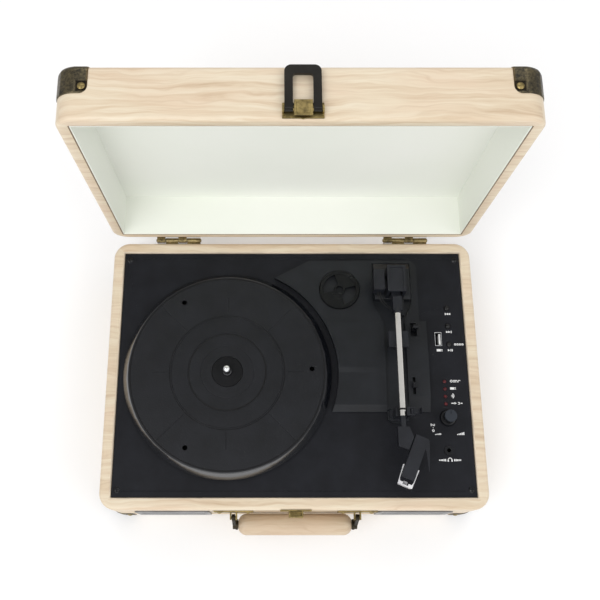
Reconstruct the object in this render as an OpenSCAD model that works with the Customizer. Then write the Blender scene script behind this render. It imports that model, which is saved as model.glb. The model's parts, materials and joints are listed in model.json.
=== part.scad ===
// Suitcase record player: a wood-grain case with its lid open, a belt-driven platter, a tonearm,
// a small control strip, and a latch and carrying handle on the front.
// Millimetres, +Z up, the front of the case faces -Y and the feet stand on Z = 0.

/* [Case] */
// Outer width of the case, left to right
case_w = 350; // [348:1:358]
// Outer depth of the case, front to back
case_d = 254; // [253:1:260]
// Height of the base box above its feet
base_h = 76; // [72:1:84]
// Height of the lid
lid_h = 43; // [43:1:50]
// Thickness of the side walls
wall_t = 10.5; // [9:0.5:10.5]
// Radius of the upright corners
corner_r = 15; // [13:1:18]
// Height of the rubber feet
foot_h = 4; // [3:0.5:6]
// Angle at which the lid stands open
lid_open = 87.5; // [0:0.5:87.5]

/* [Deck] */
// Thickness of the black deck plate
deck_t = 3; // [2.5:0.5:4]
// Depth of the deck below the rim
deck_drop = 1.5; // [1:0.5:2]
// Height of the mechanism cover above the deck
cover_h = 5.5; // [5:0.5:5.5]

/* [Platter] */
// Diameter of the platter
platter_d = 194.6; // [193:0.2:195]
// Platter axis, left of the case centre
platter_x = -61.3; // [-61.5:0.1:-61]
// Platter axis, in front of the case centre
platter_y = -4.3; // [-4.5:0.1:-4]
// Height of the platter's top above the rim
platter_rise = 10; // [9.5:0.1:10.2]
// Diameter of the spindle
spindle_d = 7.1; // [7:0.05:7.2]

/* [Tonearm] */
// Tonearm axis, right of the case centre
arm_x = 96.5; // [96:0.1:97]
// Swing axis, behind the case centre
arm_y = 82; // [81.5:0.1:82.5]
// Height of the tube axis above the rim
arm_rise = 27; // [26.5:0.1:27.5]
// Diameter of the arm tube
tube_d = 5.7; // [5.5:0.1:5.8]
// Offset angle of the headshell
head_angle = 22.6; // [20:0.1:24]

/* [Controls] */
// Diameter of the volume knob's skirt
knob_d = 15.6; // [14:0.2:16.4]
// Diameter of each push button
button_d = 4.8; // [4.4:0.1:5]
// Spacing of the status lights
led_pitch = 7; // [6:0.2:7.4]

/* [Handle] */
// Length of the carrying grip
grip_len = 106; // [98:1:106]
// Diameter of the carrying grip
grip_d = 19.2; // [17:0.2:19.4]

/* [Hidden] */
$fn = 64;
eps = 0.5;           // how far a cutter runs past a face
gap = 0.3;           // clearance between pieces that don't touch
run = 0.06;          // radial clearance of a running fit
through = 400;       // longer than anything it cuts

// Levels
floor_t = 5;
rim_z = foot_h + base_h;
deck_z = rim_z - deck_drop;
deck_under = deck_z - deck_t;
lid_top = rim_z + lid_h;
lid_board = 3;
seam = 0.3;          // the closed lid stands this far above the base's rim
lining_t = 0.6;
inner_w = case_w - 2 * wall_t;
inner_d = case_d - 2 * wall_t;
front_y = -case_d / 2;
back_y = case_d / 2;

// Hinge axis, just behind and below the seam
hinge_off = 3.2;
hinge_y = back_y + hinge_off;
hinge_z = rim_z - 1.5;
hinge_x = 112;
knuckle_r = 2.4;
hinge_pin_r = 1.2;
leaf_t = 1.2;
leaf_h = 13;
leaf_w = 43;
knuckle_gap = 0.4;
lid_knuckles = [[0, 8.5], [21, 8.5]];
base_knuckles = [[8.5, 12.5], [29.5, 13.5]];

// Corner caps
cap_t = 0.9;
cap_fit = 0.05;
cap_reach = 24;
cap_drop = 22;
cap_round = 6;
rivet_r = 2.8;
rivet_h = 1.2;
rivet_in = 19.8;
rivet_down = 16.5;

// Handle pivots, on the front face
handle_pivot_y = front_y - 5.5;
handle_pivot_z = rim_z - 20;
grip_y = front_y - 10.7;
grip_z = rim_z - 42;
knuckle_x = 56.3;
front_x = 1.5;         // the latch and handle sit a little right of the case centre

// The model's origin is under the middle of its bounding box, so the case stands a little forward
lid_back = hinge_y + (lid_h + cap_t + rim_z - hinge_z) * sin(lid_open);
handle_front = grip_y - grip_d / 2;
case_y = -(lid_back + handle_front) / 2;

// Deck fixings
screw_x = case_w / 2 - 15.5;
screw_y = case_d / 2 - 17.5;

// Mechanism
cover_z = deck_z + cover_h;
arm_floor = cover_z - 2;
platter_r = platter_d / 2;
platter_top = rim_z + platter_rise;
platter_face_r = platter_r - 5.8;
cut_r = 103.5;
drive_r = 52.5;
belt_t = 0.8;
belt_gap = 0.1;
pulley_r = 5.6;
motor_x = platter_x - 69.5;
motor_y = platter_y + 18.6;
plate_z = deck_under - 12.5;
plate_t = 2;
adapter_x = 45.3;
adapter_y = 77.1;
adapter_r = 19;
adapter_pocket = 3.4;
channel_l = arm_x - 10;
channel_r = arm_x + 10;
block_r = 126.7;
block_back = 45.5;
block_front = -40;
ridge_y = -1.5;
ridge_z = cover_z + 3.2;

// Tonearm
tube_z = rim_z + arm_rise;
tube_r = tube_d / 2;
lift_z = tube_z - 4;
yoke_w = 17.2;
yoke_front = arm_y - 15.5;
yoke_back = arm_y + 10.1;
yoke_z = arm_floor + 9.6;
yoke_top = tube_z + 6.5;
stem_r = 4;
lift_pin_r = 1.5;
neck_w = 8.4;
neck_front = arm_y - 35;
tube_front = arm_y - 130;
stylus_x = arm_x + 3.5;
stylus_y = arm_y - 180;
head_top = tube_z - 1.5;
head_w = 11.8;
head_back = 34.5;
head_nose = 4.5;
cart_w = 9.8;
cart_z = tube_z - 11.8;
tip_z = platter_top + 3.5;
rest_y = arm_y - 126;
clip_x = arm_x + 9.1;
clip_z = tube_z - 2.5;
clip_pin_r = 0.9;
clip_open = 90;
cue_x = 114.2;
cue_y = 37;
cue_z = cover_z;
platform_y = 23.5;
platform_top = tube_z - tube_r - 1.15;
speed_x = 112;
speed_y = -16.6;

// Controls, measured from the right and the centre of the deck
button_x = case_w / 2 - 26.5;
button_ys = [60.1, 42.4, 24.3];
usb_x = case_w / 2 - 36.6;
usb_y = 29.5;
led_x = case_w / 2 - 33.4;
led_y = -11.3;
knob_x = case_w / 2 - 32.5;
knob_y = -45.4;
jack_x = case_w / 2 - 33.8;
jack_y = -74.8;
board_z = deck_under - 9.5;
board_t = 1.6;

// Speakers and rear sockets
speaker_x = 111;
speaker_z = foot_h + 38;
speaker_r = 21;
rear_z = foot_h + 26;
dc_x = -130;
line_x = -108;
jack_bore_r = 1.8;

// Latch, measured on the closed lid's front
latch_pin_z = rim_z + 6.5;
latch_pin_y = front_y - 3.6;
latch_pin_r = 1;
lever_w = 26.4;
lever_bar = 6;
lever_head = 7;
lever_t = 2.8;
lever_top = rim_z + 41;
link_pin_z = latch_pin_z + 3.8;
link_pin_r = 0.8;

// ---- Shared shapes ----

module round_rect(w, d, r) {
    square([w - 2 * r, d], center = true);
    square([w, d - 2 * r], center = true);
    for (x = [-1, 1], y = [-1, 1])
        translate([x * (w / 2 - r), y * (d / 2 - r)]) circle(r);
}

// A box given by its lowest and highest corners
module span(lo, hi) {
    translate(lo) cube(hi - lo);
}

// A cylinder along X from x0 to x1
module rod_x(x0, x1, y, z, r) {
    translate([x0, y, z]) rotate([0, 90, 0]) cylinder(h = x1 - x0, r = r);
}

// A cylinder along Y from y0 to y1
module rod_y(y0, y1, x, z, r, r2 = -1) {
    translate([x, y0, z]) rotate([-90, 0, 0]) cylinder(h = y1 - y0, r1 = r, r2 = r2 < 0 ? r : r2);
}

// A cylinder along Z from z0 to z1
module rod_z(z0, z1, x, y, r) {
    translate([x, y, z0]) cylinder(h = z1 - z0, r = r);
}

// A profile of [y, z] points extruded along X
module slab_x(x0, x1, points) {
    translate([x0, 0, 0]) rotate([90, 0, 90]) linear_extrude(x1 - x0) polygon(points);
}

// A low dome standing on Z = 0
module dome(r, h) {
    ball_r = (r * r + h * h) / (2 * h);
    intersection() {
        translate([0, 0, h - ball_r]) sphere(ball_r);
        cylinder(h = h, r = r);
    }
}

// A pan-head screw standing on Z = 0, with a cross recess
module pan_screw(head_r, head_h, shank_r, shank_l) {
    recess_w = head_r * 0.3;
    recess_l = head_r * 1.2;
    difference() {
        dome(head_r, head_h);
        for (a = [0, 90]) rotate([0, 0, a])
            translate([-recess_l / 2, -recess_w / 2, head_h * 0.45]) cube([recess_l, recess_w, head_h]);
    }
    translate([0, 0, -shank_l]) cylinder(h = shank_l, r = shank_r);
}

module at_case() {
    translate([0, case_y, 0]) children();
}

// Swings what is drawn on the closed lid to its open place
module at_lid() {
    at_case() translate([0, hinge_y, hinge_z]) rotate([-lid_open, 0, 0])
        translate([0, -hinge_y, -hinge_z]) children();
}

// The headshell's own axes: the stylus is its origin and +Y runs back along the head
module at_head() {
    at_case() translate([stylus_x, stylus_y, 0]) rotate([0, 0, -head_angle]) children();
}

// Centres what is drawn on the latch and handle's own middle
module at_middle() {
    translate([front_x, 0, 0]) children();
}

module at_platter() {
    at_case() translate([platter_x, platter_y, 0]) children();
}

// ---- Case ----

module deck_screw_places() {
    for (x = [-1, 1], y = [-1, 1]) translate([x * screw_x, y * screw_y]) children();
}

// Screw places on one row of a hinge leaf
module leaf_screw_places(z) {
    for (side = [-1, 1], dx = [-14.5, 0, 14.5])
        translate([side * hinge_x + dx, back_y, z]) rotate([-90, 0, 0]) children();
}

base_leaf_z = hinge_z - knuckle_r - gap - leaf_h / 2;
lid_leaf_z = hinge_z + knuckle_r + gap + leaf_h / 2;
leaf_screw_r = 1.2;
leaf_pilot_r = 1.25;
deck_shank_r = 1.5;
deck_pilot_r = 1.55;

module base_case() {
    post = 14;
    socket_r = 5.1;
    color("#e6d3b6") at_case() difference() {
        union() {
            difference() {
                translate([0, 0, foot_h]) linear_extrude(base_h) round_rect(case_w, case_d, corner_r);
                translate([-inner_w / 2, -inner_d / 2, foot_h + floor_t]) cube([inner_w, inner_d, base_h]);
            }
            for (x = [-1, 1], y = [-1, 1])
                translate([x * (inner_w / 2 - post / 2 + eps / 2), y * (inner_d / 2 - post / 2 + eps / 2),
                    (foot_h + deck_under) / 2])
                    cube([post + eps, post + eps, deck_under - foot_h - floor_t + 2 * eps], center = true);
        }
        translate([0, 0, deck_under - 14]) deck_screw_places() cylinder(h = base_h, r = deck_pilot_r);
        for (x = [-1, 1]) rod_y(front_y - eps, front_y + wall_t + eps, x * speaker_x, speaker_z, speaker_r);
        for (x = [dc_x, line_x]) rod_y(back_y - wall_t - eps, back_y + eps, x, rear_z, socket_r);
        leaf_screw_places(base_leaf_z) translate([0, 0, -8.5]) cylinder(h = 9, r = leaf_pilot_r);
    }
}

module rubber_feet() {
    foot_r = 9;
    color("#1c1c1c") at_case() for (x = [-1, 1], y = [-1, 1])
        translate([x * (case_w / 2 - 33), y * (case_d / 2 - 33), 0])
            cylinder(h = foot_h, r1 = foot_r - 1, r2 = foot_r);
}

module deck_plate() {
    fit = 0.5;
    bearing_hole = 12;
    pulley_hole = 9;
    color("#26262a") at_case() difference() {
        span([-inner_w / 2 + fit, -inner_d / 2 + fit, deck_under], [inner_w / 2 - fit,
            inner_d / 2 - fit, deck_z]);
        translate([0, 0, deck_under - eps]) {
            deck_screw_places() cylinder(h = deck_t + 2 * eps, r = deck_shank_r + 0.2);
            translate([platter_x, platter_y]) cylinder(h = deck_t + 2 * eps, r = bearing_hole);
            translate([motor_x, motor_y]) cylinder(h = deck_t + 2 * eps, r = pulley_hole);
            for (y = button_ys)
                translate([button_x, y]) cylinder(h = deck_t + 2 * eps, r = button_d / 2 + gap);
            for (i = [0:3])
                translate([led_x, led_y - i * led_pitch]) cylinder(h = deck_t + 2 * eps, r = 1.65);
            translate([knob_x, knob_y]) cylinder(h = deck_t + 2 * eps, r = 3.6);
            translate([jack_x, jack_y]) cylinder(h = deck_t + 2 * eps, r = 3.2);
            translate([usb_x - usb_w / 2 - gap, usb_y - usb_l / 2 - gap])
                cube([usb_w + 2 * gap, usb_l + 2 * gap, deck_t + 2 * eps]);
        }
    }
}

module deck_screws() {
    color("#b9bcc0") at_case() deck_screw_places() translate([0, 0, deck_z])
        pan_screw(3.1, 1.3, deck_shank_r, 14);
}

// ---- Mechanism ----

// The cover's outline behind the platter, with one rounded corner
module cover_outline() {
    round_r = 9;
    right = 120.5;
    back = back_y - 20;
    polygon([[-30, 82.6], [16.7, back], [right - round_r, back], [right - round_r, block_back - eps],
        [27, block_back - eps]]);
    translate([right - round_r, back - round_r]) circle(round_r);
    translate([right - round_r - eps, block_back - eps])
        square([round_r + eps, back - round_r - block_back + eps]);
}

// The sunken path under the arm, flared round the pedestal
module arm_path() {
    flare_y = arm_y - 18;
    flare_l = arm_x - 19.5;
    flare_r = arm_x + 17.5;
    path_back = arm_y + 22;
    polygon([[flare_l, path_back], [flare_l, flare_y], [channel_l, block_back], [channel_l,
        block_front - eps],
        [channel_r, block_front - eps], [channel_r, block_back], [flare_r, flare_y], [flare_r, path_back]]);
}

module mech_cover() {
    tongue_end = rest_y - 7;
    tongue_r = 7;
    tongue_w = channel_r - channel_l;
    stem_guide_r = 5;
    facet = 2.5;
    color("#202024") at_case() difference() {
        union() {
            difference() {
                union() {
                    translate([0, 0, deck_z]) linear_extrude(cover_h) cover_outline();
                    slab_x(27, channel_r, [[block_back, deck_z], [block_back, cover_z + 1.2],
                        [ridge_y + facet, ridge_z], [ridge_y - facet, ridge_z - 1.4], [-34, cover_z + 0.8],
                        [block_front, deck_z + 1.7], [block_front, deck_z]]);
                    slab_x(channel_r - eps, block_r, [[block_back, deck_z], [block_back, cover_z + 1.2],
                        [ridge_y + facet, ridge_z], [ridge_y - facet, ridge_z - 1.4],
                        [-26.7, cover_z + 1.2], [block_front, deck_z + 1], [block_front, deck_z]]);
                }
                translate([0, 0, arm_floor]) linear_extrude(cover_h + 10) arm_path();
            }
            translate([arm_x, 0, deck_z]) linear_extrude(arm_floor - deck_z) {
                translate([-tongue_w / 2, tongue_end + tongue_r])
                    square([tongue_w, block_front - tongue_end - tongue_r + eps]);
                translate([-tongue_w / 2 + tongue_r, tongue_end])
                    square([tongue_w - 2 * tongue_r, tongue_r + eps]);
                for (x = [-1, 1]) translate([x * (tongue_w / 2 - tongue_r), tongue_end + tongue_r])
                    circle(tongue_r);
            }
            rod_z(deck_z, arm_floor + 10, arm_x, platform_y, stem_guide_r);
        }
        rod_z(deck_z - eps, cover_z + 10, platter_x, platter_y, cut_r);
        rod_z(cover_z - adapter_pocket, cover_z + eps, adapter_x, adapter_y, adapter_r + 0.8);
        rod_z(deck_z - eps, arm_floor + 10 + eps, arm_x, platform_y, 2.2 + 0.2);
        span([cue_x - 3, cue_y - 6.5, deck_z + 1], [cue_x + 3, cue_y + 6.5, ridge_z + eps]);
        rod_x(cue_x - 4.2, cue_x + 4.2, cue_y, cue_z, 1 + run);
        span([speed_x - 1.3, speed_y - 7.9, deck_z + 1.5], [speed_x + 1.3, speed_y + 7.9, ridge_z + eps]);
    }
}

module drive_plate() {
    boss_r = 9;
    standoff_r = 4;
    low = [motor_x - 22, platter_y - 42];
    high = [platter_x + 42, motor_y + 30];
    color("#8f9399") at_case() difference() {
        union() {
            span([low[0], low[1], plate_z], [high[0], high[1], plate_z + plate_t]);
            rod_z(plate_z, deck_z + 1.7, platter_x, platter_y, boss_r);
            for (x = [low[0] + 6, high[0] - 6], y = [low[1] + 6, high[1] - 6])
                rod_z(plate_z, deck_under, x, y, standoff_r);
        }
        rod_z(plate_z - eps, deck_z + 3, platter_x, platter_y, spindle_d / 2 + 0.03);
        rod_z(plate_z - eps, plate_z + 4, motor_x, motor_y, 4);
    }
}

module spindle() {
    r = spindle_d / 2;
    top = platter_top + 15;
    collar_z = platter_top + 0.6;
    color("#d5d8dc") at_platter() {
        rod_z(plate_z, top - r, 0, 0, r);
        translate([0, 0, top - r]) sphere(r);
        rod_z(collar_z, collar_z + 1, 0, 0, r + 0.6);
    }
}

module platter() {
    t = 3;
    skirt_z = rim_z + 0.3;
    skirt_t = 2.2;
    hub_r = 10;
    hub_z = platter_top - 9.4;
    rib_z = platter_top - 9;
    bore_r = spindle_d / 2 + run;
    ring_grooves = [[24.2, 0.6, 0.3], [35.6, 1.2, 0.6], [51.6, 0.5, 0.4], [53, 0.5, 0.4], [89.2, 0.7, 0.4]];
    line_w = 0.8;
    line_d = 0.4;
    access_r = 2.3;
    access_at = 78.7;
    color("#1f1f22") at_platter() difference() {
        rotate_extrude($fn = 128) polygon([[bore_r, hub_z], [hub_r, hub_z], [hub_r, platter_top - t],
            [drive_r - 2.5, platter_top - t], [drive_r - 2.5, rib_z], [drive_r, rib_z], [drive_r,
                platter_top - t],
            [platter_face_r - 1.2, platter_top - t], [platter_r - skirt_t, platter_top - 7.9],
            [platter_r - skirt_t, skirt_z], [platter_r, skirt_z], [platter_r, platter_top - 7.5],
            [platter_face_r + 1.1, platter_top - 1], [platter_face_r, platter_top], [bore_r, platter_top]]);
        rod_z(platter_top - 2, platter_top + eps, 0, 0, 14.4);
        for (g = ring_grooves) rotate_extrude($fn = 128)
            translate([g[0], platter_top - g[2]]) square([g[1], g[2] + eps]);
        for (a = [45:90:315]) rotate([0, 0, a])
            translate([54.5, -line_w / 2, platter_top - line_d]) cube([34, line_w, line_d + eps]);
        for (a = [0:90:270]) rotate([0, 0, a])
            translate([55.5, -line_w / 2, platter_top - line_d]) cube([15.5, line_w, line_d + eps]);
        for (a = [2:120:242]) rotate([0, 0, a])
            rod_z(platter_top - t - eps, platter_top + eps, access_at, 0, access_r);
    }
}

module platter_hub() {
    color("#2b2b2f") at_platter() difference() {
        rod_z(platter_top - 2, platter_top + 0.2, 0, 0, 14.1);
        rod_z(platter_top - 2 - eps, platter_top + 1, 0, 0, spindle_d / 2 + run);
    }
}

// A closed belt round two wheels, as a flat outline
module belt_loop(wheel_r, small_r) {
    hull() {
        circle(wheel_r, $fn = 96);
        translate([motor_x - platter_x, motor_y - platter_y]) circle(small_r, $fn = 32);
    }
}

module drive_belt() {
    belt_z = platter_top - 7.8;
    belt_h = 3.6;
    color("#151515") at_platter() translate([0, 0, belt_z]) linear_extrude(belt_h) difference() {
        belt_loop(drive_r + belt_gap + belt_t, pulley_r + belt_gap + belt_t);
        belt_loop(drive_r + belt_gap, pulley_r + belt_gap);
    }
}

module motor() {
    can_r = 15;
    can_h = 26;
    color("#9aa0a6") at_case() difference() {
        union() {
            rod_z(plate_z - can_h, plate_z, motor_x, motor_y, can_r);
            rod_z(plate_z - can_h - 2, plate_z - can_h + eps, motor_x, motor_y, 5);
        }
        rod_z(plate_z - 20, plate_z + eps, motor_x, motor_y, 1 + run);
    }
}

module motor_pulley() {
    flange_r = 7.2;
    low = platter_top - 8.8;
    high = platter_top - 3.4;
    color("#c8a24a") at_case() {
        rod_z(plate_z - 18, high + 0.1, motor_x, motor_y, 1);
        rod_z(low, high, motor_x, motor_y, pulley_r);
        rod_z(low, low + 0.7, motor_x, motor_y, flange_r);
        rod_z(high - 0.5, high, motor_x, motor_y, flange_r);
    }
}

module adapter_45() {
    low = cover_z - adapter_pocket + 0.2;
    high = cover_z + 1.4;
    ring_t = 3.4;
    hub_r = 5.4;
    web_t = 1.8;
    color("#1b1b1e") at_case() translate([adapter_x, adapter_y, 0]) difference() {
        union() {
            difference() {
                rod_z(low, high, 0, 0, adapter_r);
                rod_z(low - eps, high + eps, 0, 0, adapter_r - ring_t);
            }
            rod_z(low, high, 0, 0, hub_r);
            for (a = [15, 195]) rotate([0, 0, a])
                rotate_extrude(angle = 90) translate([hub_r - eps, high - 0.8 - web_t])
                    square([adapter_r - ring_t - hub_r + 2 * eps, web_t]);
        }
        rod_z(low - eps, high + eps, 0, 0, spindle_d / 2 + run);
    }
}

// ---- Tonearm ----

module arm_pedestal() {
    left = arm_x - 18;
    right = arm_x + 16;
    top = yoke_z - 0.6;
    color("#222226") at_case() difference() {
        union() {
            slab_x(left, right, [[arm_y - 16, arm_floor], [arm_y - 16, top - 2], [arm_y - 12, top],
                [arm_y + 14, top], [arm_y + 21, arm_floor + 3.5], [arm_y + 21, arm_floor]]);
            span([arm_x + 5, arm_y - 32, arm_floor], [arm_x + 9.5, arm_y - 15.5, top - 1]);
        }
        rod_z(arm_floor + 1, top + eps, arm_x, arm_y, stem_r + run);
    }
}

module arm_yoke() {
    side_t = 2.6;
    top_t = 2.2;
    cover_l = arm_x - 21.2;
    cover_r = arm_x - 11.3;
    frame_in = 2.4;
    color("#2a2a2e") at_case() difference() {
        union() {
            span([arm_x - yoke_w / 2, yoke_front, yoke_z], [arm_x + yoke_w / 2, yoke_back, yoke_top]);
            rod_z(arm_floor + 1.5, yoke_z + eps, arm_x, arm_y, stem_r);
            span([cover_l, yoke_front + 2, lift_z - 3], [cover_r, yoke_back - 4, yoke_top - 1.3]);
            span([cover_r - eps, yoke_front + 6, lift_z - 3],
                [arm_x - yoke_w / 2 + eps, yoke_back - 8, lift_z + 1]);
        }
        span([arm_x - yoke_w / 2 + side_t, yoke_front - eps, yoke_z + 3],
            [arm_x + yoke_w / 2 - side_t, yoke_back - 2.2, yoke_top - top_t]);
        span([arm_x - yoke_w / 2 + frame_in, yoke_front + frame_in, yoke_top - 0.8],
            [arm_x + yoke_w / 2 - frame_in, yoke_back - frame_in, yoke_top + eps]);
        rod_x(arm_x - yoke_w, arm_x + yoke_w / 2 + eps, arm_y, lift_z, lift_pin_r + run);
    }
}

// One ring of points round a wire at each point of its route
function wire_ring(p, r, n) = [for (k = [0:n - 1]) p + r * [cos(360 * k / n), 0, sin(360 * k / n)]];

// A wire that keeps running roughly along -Y, swept through its route
module wire(route, r) {
    n = 8;
    last = len(route) - 1;
    points = [for (p = route) each wire_ring(p, r, n)];
    sides = [for (i = [0:last - 1], k = [0:n - 1])
        [i * n + k, i * n + (k + 1) % n, (i + 1) * n + (k + 1) % n, (i + 1) * n + k]];
    start = [[for (k = [n - 1:-1:0]) k]];
    finish = [[for (k = [0:n - 1]) last * n + k]];
    polyhedron(points, concat(sides, start, finish), convexity = 4);
}

// Wires of the pickup, from the cover on the yoke to the underside of the neck
lead_route = [[-17, -13.5, 1], [-16.6, -17, 0.8], [-15, -20.5, -0.4], [-12, -24, -2.2], [-8, -27, -3.6],
    [-4, -29.4, -4.4], [-1, -31.5, -4.6]];

module arm_leads() {
    color("#141414") at_case() translate([arm_x, arm_y, lift_z])
        for (side = [0, 1]) wire([for (p = lead_route) p + side * [2.2, 0.8 + p[0] * 0.05, 0.2]], 0.6);
}

module arm_neck() {
    low_back = arm_y + 5;
    step_y = arm_y - 20;
    w = neck_w / 2;
    color("#232327") at_case() difference() {
        union() {
            span([arm_x - w, step_y, lift_z - 3.5], [arm_x + w, low_back, lift_z + 1.6]);
            span([arm_x - w, neck_front + 2, lift_z - 2], [arm_x + w, step_y + eps, tube_z + 3.6]);
            rod_y(neck_front, neck_front + 2.5, arm_x, tube_z, 3.6);
            rod_x(arm_x - yoke_w / 2 + 0.3, arm_x + yoke_w / 2 - 0.3, arm_y, lift_z, lift_pin_r);
        }
        rod_y(neck_front - eps, neck_front + 6, arm_x, tube_z, tube_r + 0.03);
    }
}

module arm_tube() {
    bore_r = tube_r - 0.65;
    color("#d9dcdf") at_case() difference() {
        rod_y(tube_front, neck_front + 5.9, arm_x, tube_z, tube_r);
        rod_y(tube_front - eps, neck_front + 7, arm_x, tube_z, bore_r);
    }
}

module arm_ring() {
    ring_y = rest_y + 2;
    color("#151515") at_case() difference() {
        rod_y(ring_y - 0.8, ring_y + 0.8, arm_x, tube_z, tube_r + 0.5);
        rod_y(ring_y - 2, ring_y + 2, arm_x, tube_z, tube_r + 0.03);
    }
}

module headshell() {
    stem = tube_r - 0.7;
    collar = tube_r - 0.25;
    plate_t = 3.5;
    skirt_h = 2.5;
    block_low = tube_z - 6;
    block_high = tube_z + 2.6;
    block_back = arm_y - 139.8;
    color("#242428") {
        at_case() {
            rod_y(block_back - 1, tube_front + 5, arm_x, tube_z, stem);
            rod_y(block_back - 1, tube_front - 0.1, arm_x, tube_z, collar);
            translate([0, 0, block_low]) linear_extrude(block_high - block_low)
                polygon([[arm_x - 5.3, block_back], [arm_x + 5, block_back], [arm_x + 8.5, block_back - 9],
                    [arm_x + 3.5, block_back - 20], [arm_x - 5.2, block_back - 17]]);
        }
        at_head() {
            difference() {
                span([-head_w / 2, -head_nose, head_top - plate_t - skirt_h], [head_w / 2, head_back,
                    head_top]);
                span([-head_w / 2 + 1, -head_nose - eps, head_top - plate_t - skirt_h - eps],
                    [head_w / 2 - 1, 20, head_top - plate_t]);
            }
            translate([0, 0, head_top - 1.4]) linear_extrude(1.1)
                polygon([[5.4, 34], [6.8, 33.6], [8.5, 29.4], [12.2, 19], [15.6, 8.4], [14.9, 8.6],
                    [11.2, 16.2], [6.8, 24.6], [5.4, 25.6]]);
        }
    }
}

module cartridge() {
    top = head_top - 3.5;
    nose_z = cart_z + 3;
    color("#1a1a1c") at_head() translate([-cart_w / 2 + 0.5, 0, 0])
        slab_x(0, cart_w - 1, [[-3.6, nose_z], [-3.6, top], [17, top], [17, cart_z + 2], [14, cart_z],
            [0, cart_z]]);
}

module stylus() {
    holder_t = 1;
    low = cart_z - holder_t;
    color("#8a1f24") at_head() {
        span([-2.4, 1, low], [2.4, 10, cart_z]);
        span([-0.35, -0.35, low - 0.1], [0.35, 2, low + 0.6]);
        translate([0, 0, tip_z]) cylinder(h = low - tip_z + 0.2, r1 = 0.12, r2 = 0.4);
    }
}

// A U of thin rails outside the headshell, joined by a deeper nose in front of the pickup
module stylus_guard() {
    rail_in = head_w / 2 + 0.4;
    rail_t = 1.2;
    nose_in = 5.4;
    front = -11;
    low = cart_z - 0.6;
    high = head_top - 3.6;
    rail_h = 2.4;
    color("#f2f2ee") at_head() {
        for (side = [0, 1]) mirror([side, 0, 0]) {
            translate([0, 0, high - rail_h]) linear_extrude(rail_h)
                polygon([[rail_in, 6.5], [rail_in + rail_t, 6.5], [nose_in + rail_t, front], [nose_in,
                    front],
                    [nose_in, -8], [rail_in, -head_nose - 1]]);
            span([2.6, front, low], [nose_in + eps, front + 3, high]);
        }
        span([-2.6 - eps, front, low], [2.6 + eps, front + 1.2, high - 0.4]);
        span([-2, front + 0.6, low], [2, -6.2, low + 1.6]);
    }
}

module arm_rest() {
    left = arm_x - 5.5;
    right = arm_x + 7;
    shelf = tube_z - tube_r - 2.3;
    ear_w = 1.3;
    back = rest_y + 4;
    front = rest_y - 3.5;
    color("#1d1d20") at_case() difference() {
        union() {
            span([left - 2.5, front - 1.5, arm_floor], [right + 2, back + 1, arm_floor + 2.5]);
            span([left, front, arm_floor + 2], [right, back, shelf]);
            span([left, front, shelf - eps], [left + 1.8, back, shelf + 0.6]);
            span([arm_x + 3.8, front, shelf - eps], [right, back, tube_z - 0.5]);
            for (y = [front, back - ear_w])
                span([right - eps, y, clip_z - 2], [clip_x + 1.8, y + ear_w, clip_z + 1.9]);
        }
        rod_y(front - eps, back + eps, clip_x, clip_z, clip_pin_r + run);
    }
}

module arm_clip() {
    front = rest_y - 1.9;
    back = rest_y + 2.4;
    reach = 11.5;
    rise = tube_z + tube_r + 1 - clip_z;
    t = 1.7;
    color("#19191b") at_case() translate([clip_x, 0, clip_z]) rotate([0, clip_open, 0]) {
        rod_y(rest_y - 3.4, rest_y + 3.9, 0, 0, clip_pin_r);
        rod_y(front, back, 0, 0, 1.8);
        span([-1, front, 0], [1, back, rise + t]);
        span([-reach, front, rise], [0, back, rise + t]);
    }
}

module cue_platform() {
    color("#2d2d31") at_case() {
        span([arm_x - 8.7, platform_y - 7.5, platform_top - 3], [arm_x + 9.4, platform_y + 7.5,
            platform_top]);
        rod_z(deck_z + 6.5, platform_top - 2.5, arm_x, platform_y, 2.2);
    }
}

module cue_lever() {
    w = 5;
    color("#151517") at_case() {
        rod_x(cue_x - 4, cue_x + 4, cue_y, cue_z, 1);
        rod_x(cue_x - w / 2, cue_x + w / 2, cue_y, cue_z, 2.2);
        span([cue_x - w / 2, cue_y - 1.8, cue_z], [cue_x + w / 2, cue_y + 1.8, cue_z + 14]);
        rod_x(cue_x - w / 2, cue_x + w / 2, cue_y, cue_z + 14, 1.8);
    }
}

module speed_lever() {
    color("#151517") at_case() {
        span([speed_x - 1, speed_y - 1.8, deck_z + 2.5], [speed_x + 1, speed_y + 1.8, ridge_z + 1]);
        span([speed_x - 2, speed_y - 2.6, ridge_z + gap], [speed_x + 2, speed_y + 2.6, ridge_z + 4]);
    }
}

// ---- Controls ----

module control_button(y) {
    travel_gap = 0.5;
    color("#111113") at_case() translate([button_x, y, 0]) {
        rod_z(board_z + 6.5, deck_z + 0.6, 0, 0, button_d / 2);
        translate([0, 0, deck_z + 0.6]) dome(button_d / 2, 1.1);
        rod_z(deck_under - travel_gap - 1.2, deck_under - travel_gap, 0, 0, button_d / 2 + 1.2);
    }
}

module button_prev() {
    control_button(button_ys[0]);
}

module button_next() {
    control_button(button_ys[1]);
}

module button_play() {
    control_button(button_ys[2]);
}

usb_w = 6.6;
usb_l = 13.4;

module usb_shell() {
    wall = 0.5;
    low = board_z + board_t;
    color("#d4d6d9") at_case() translate([usb_x, usb_y, 0]) difference() {
        span([-usb_w / 2, -usb_l / 2, low], [usb_w / 2, usb_l / 2, deck_z + 0.7]);
        span([-usb_w / 2 + wall, -usb_l / 2 + wall, low + 1], [usb_w / 2 - wall, usb_l / 2 - wall,
            deck_z + 2]);
    }
}

module usb_tongue() {
    color("#f4f4f0") at_case() translate([usb_x, usb_y, 0])
        span([0.6, -usb_l / 2 + 1.4, board_z + board_t + 1], [2.6, usb_l / 2 - 1.4, deck_z - 0.6]);
}

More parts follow.
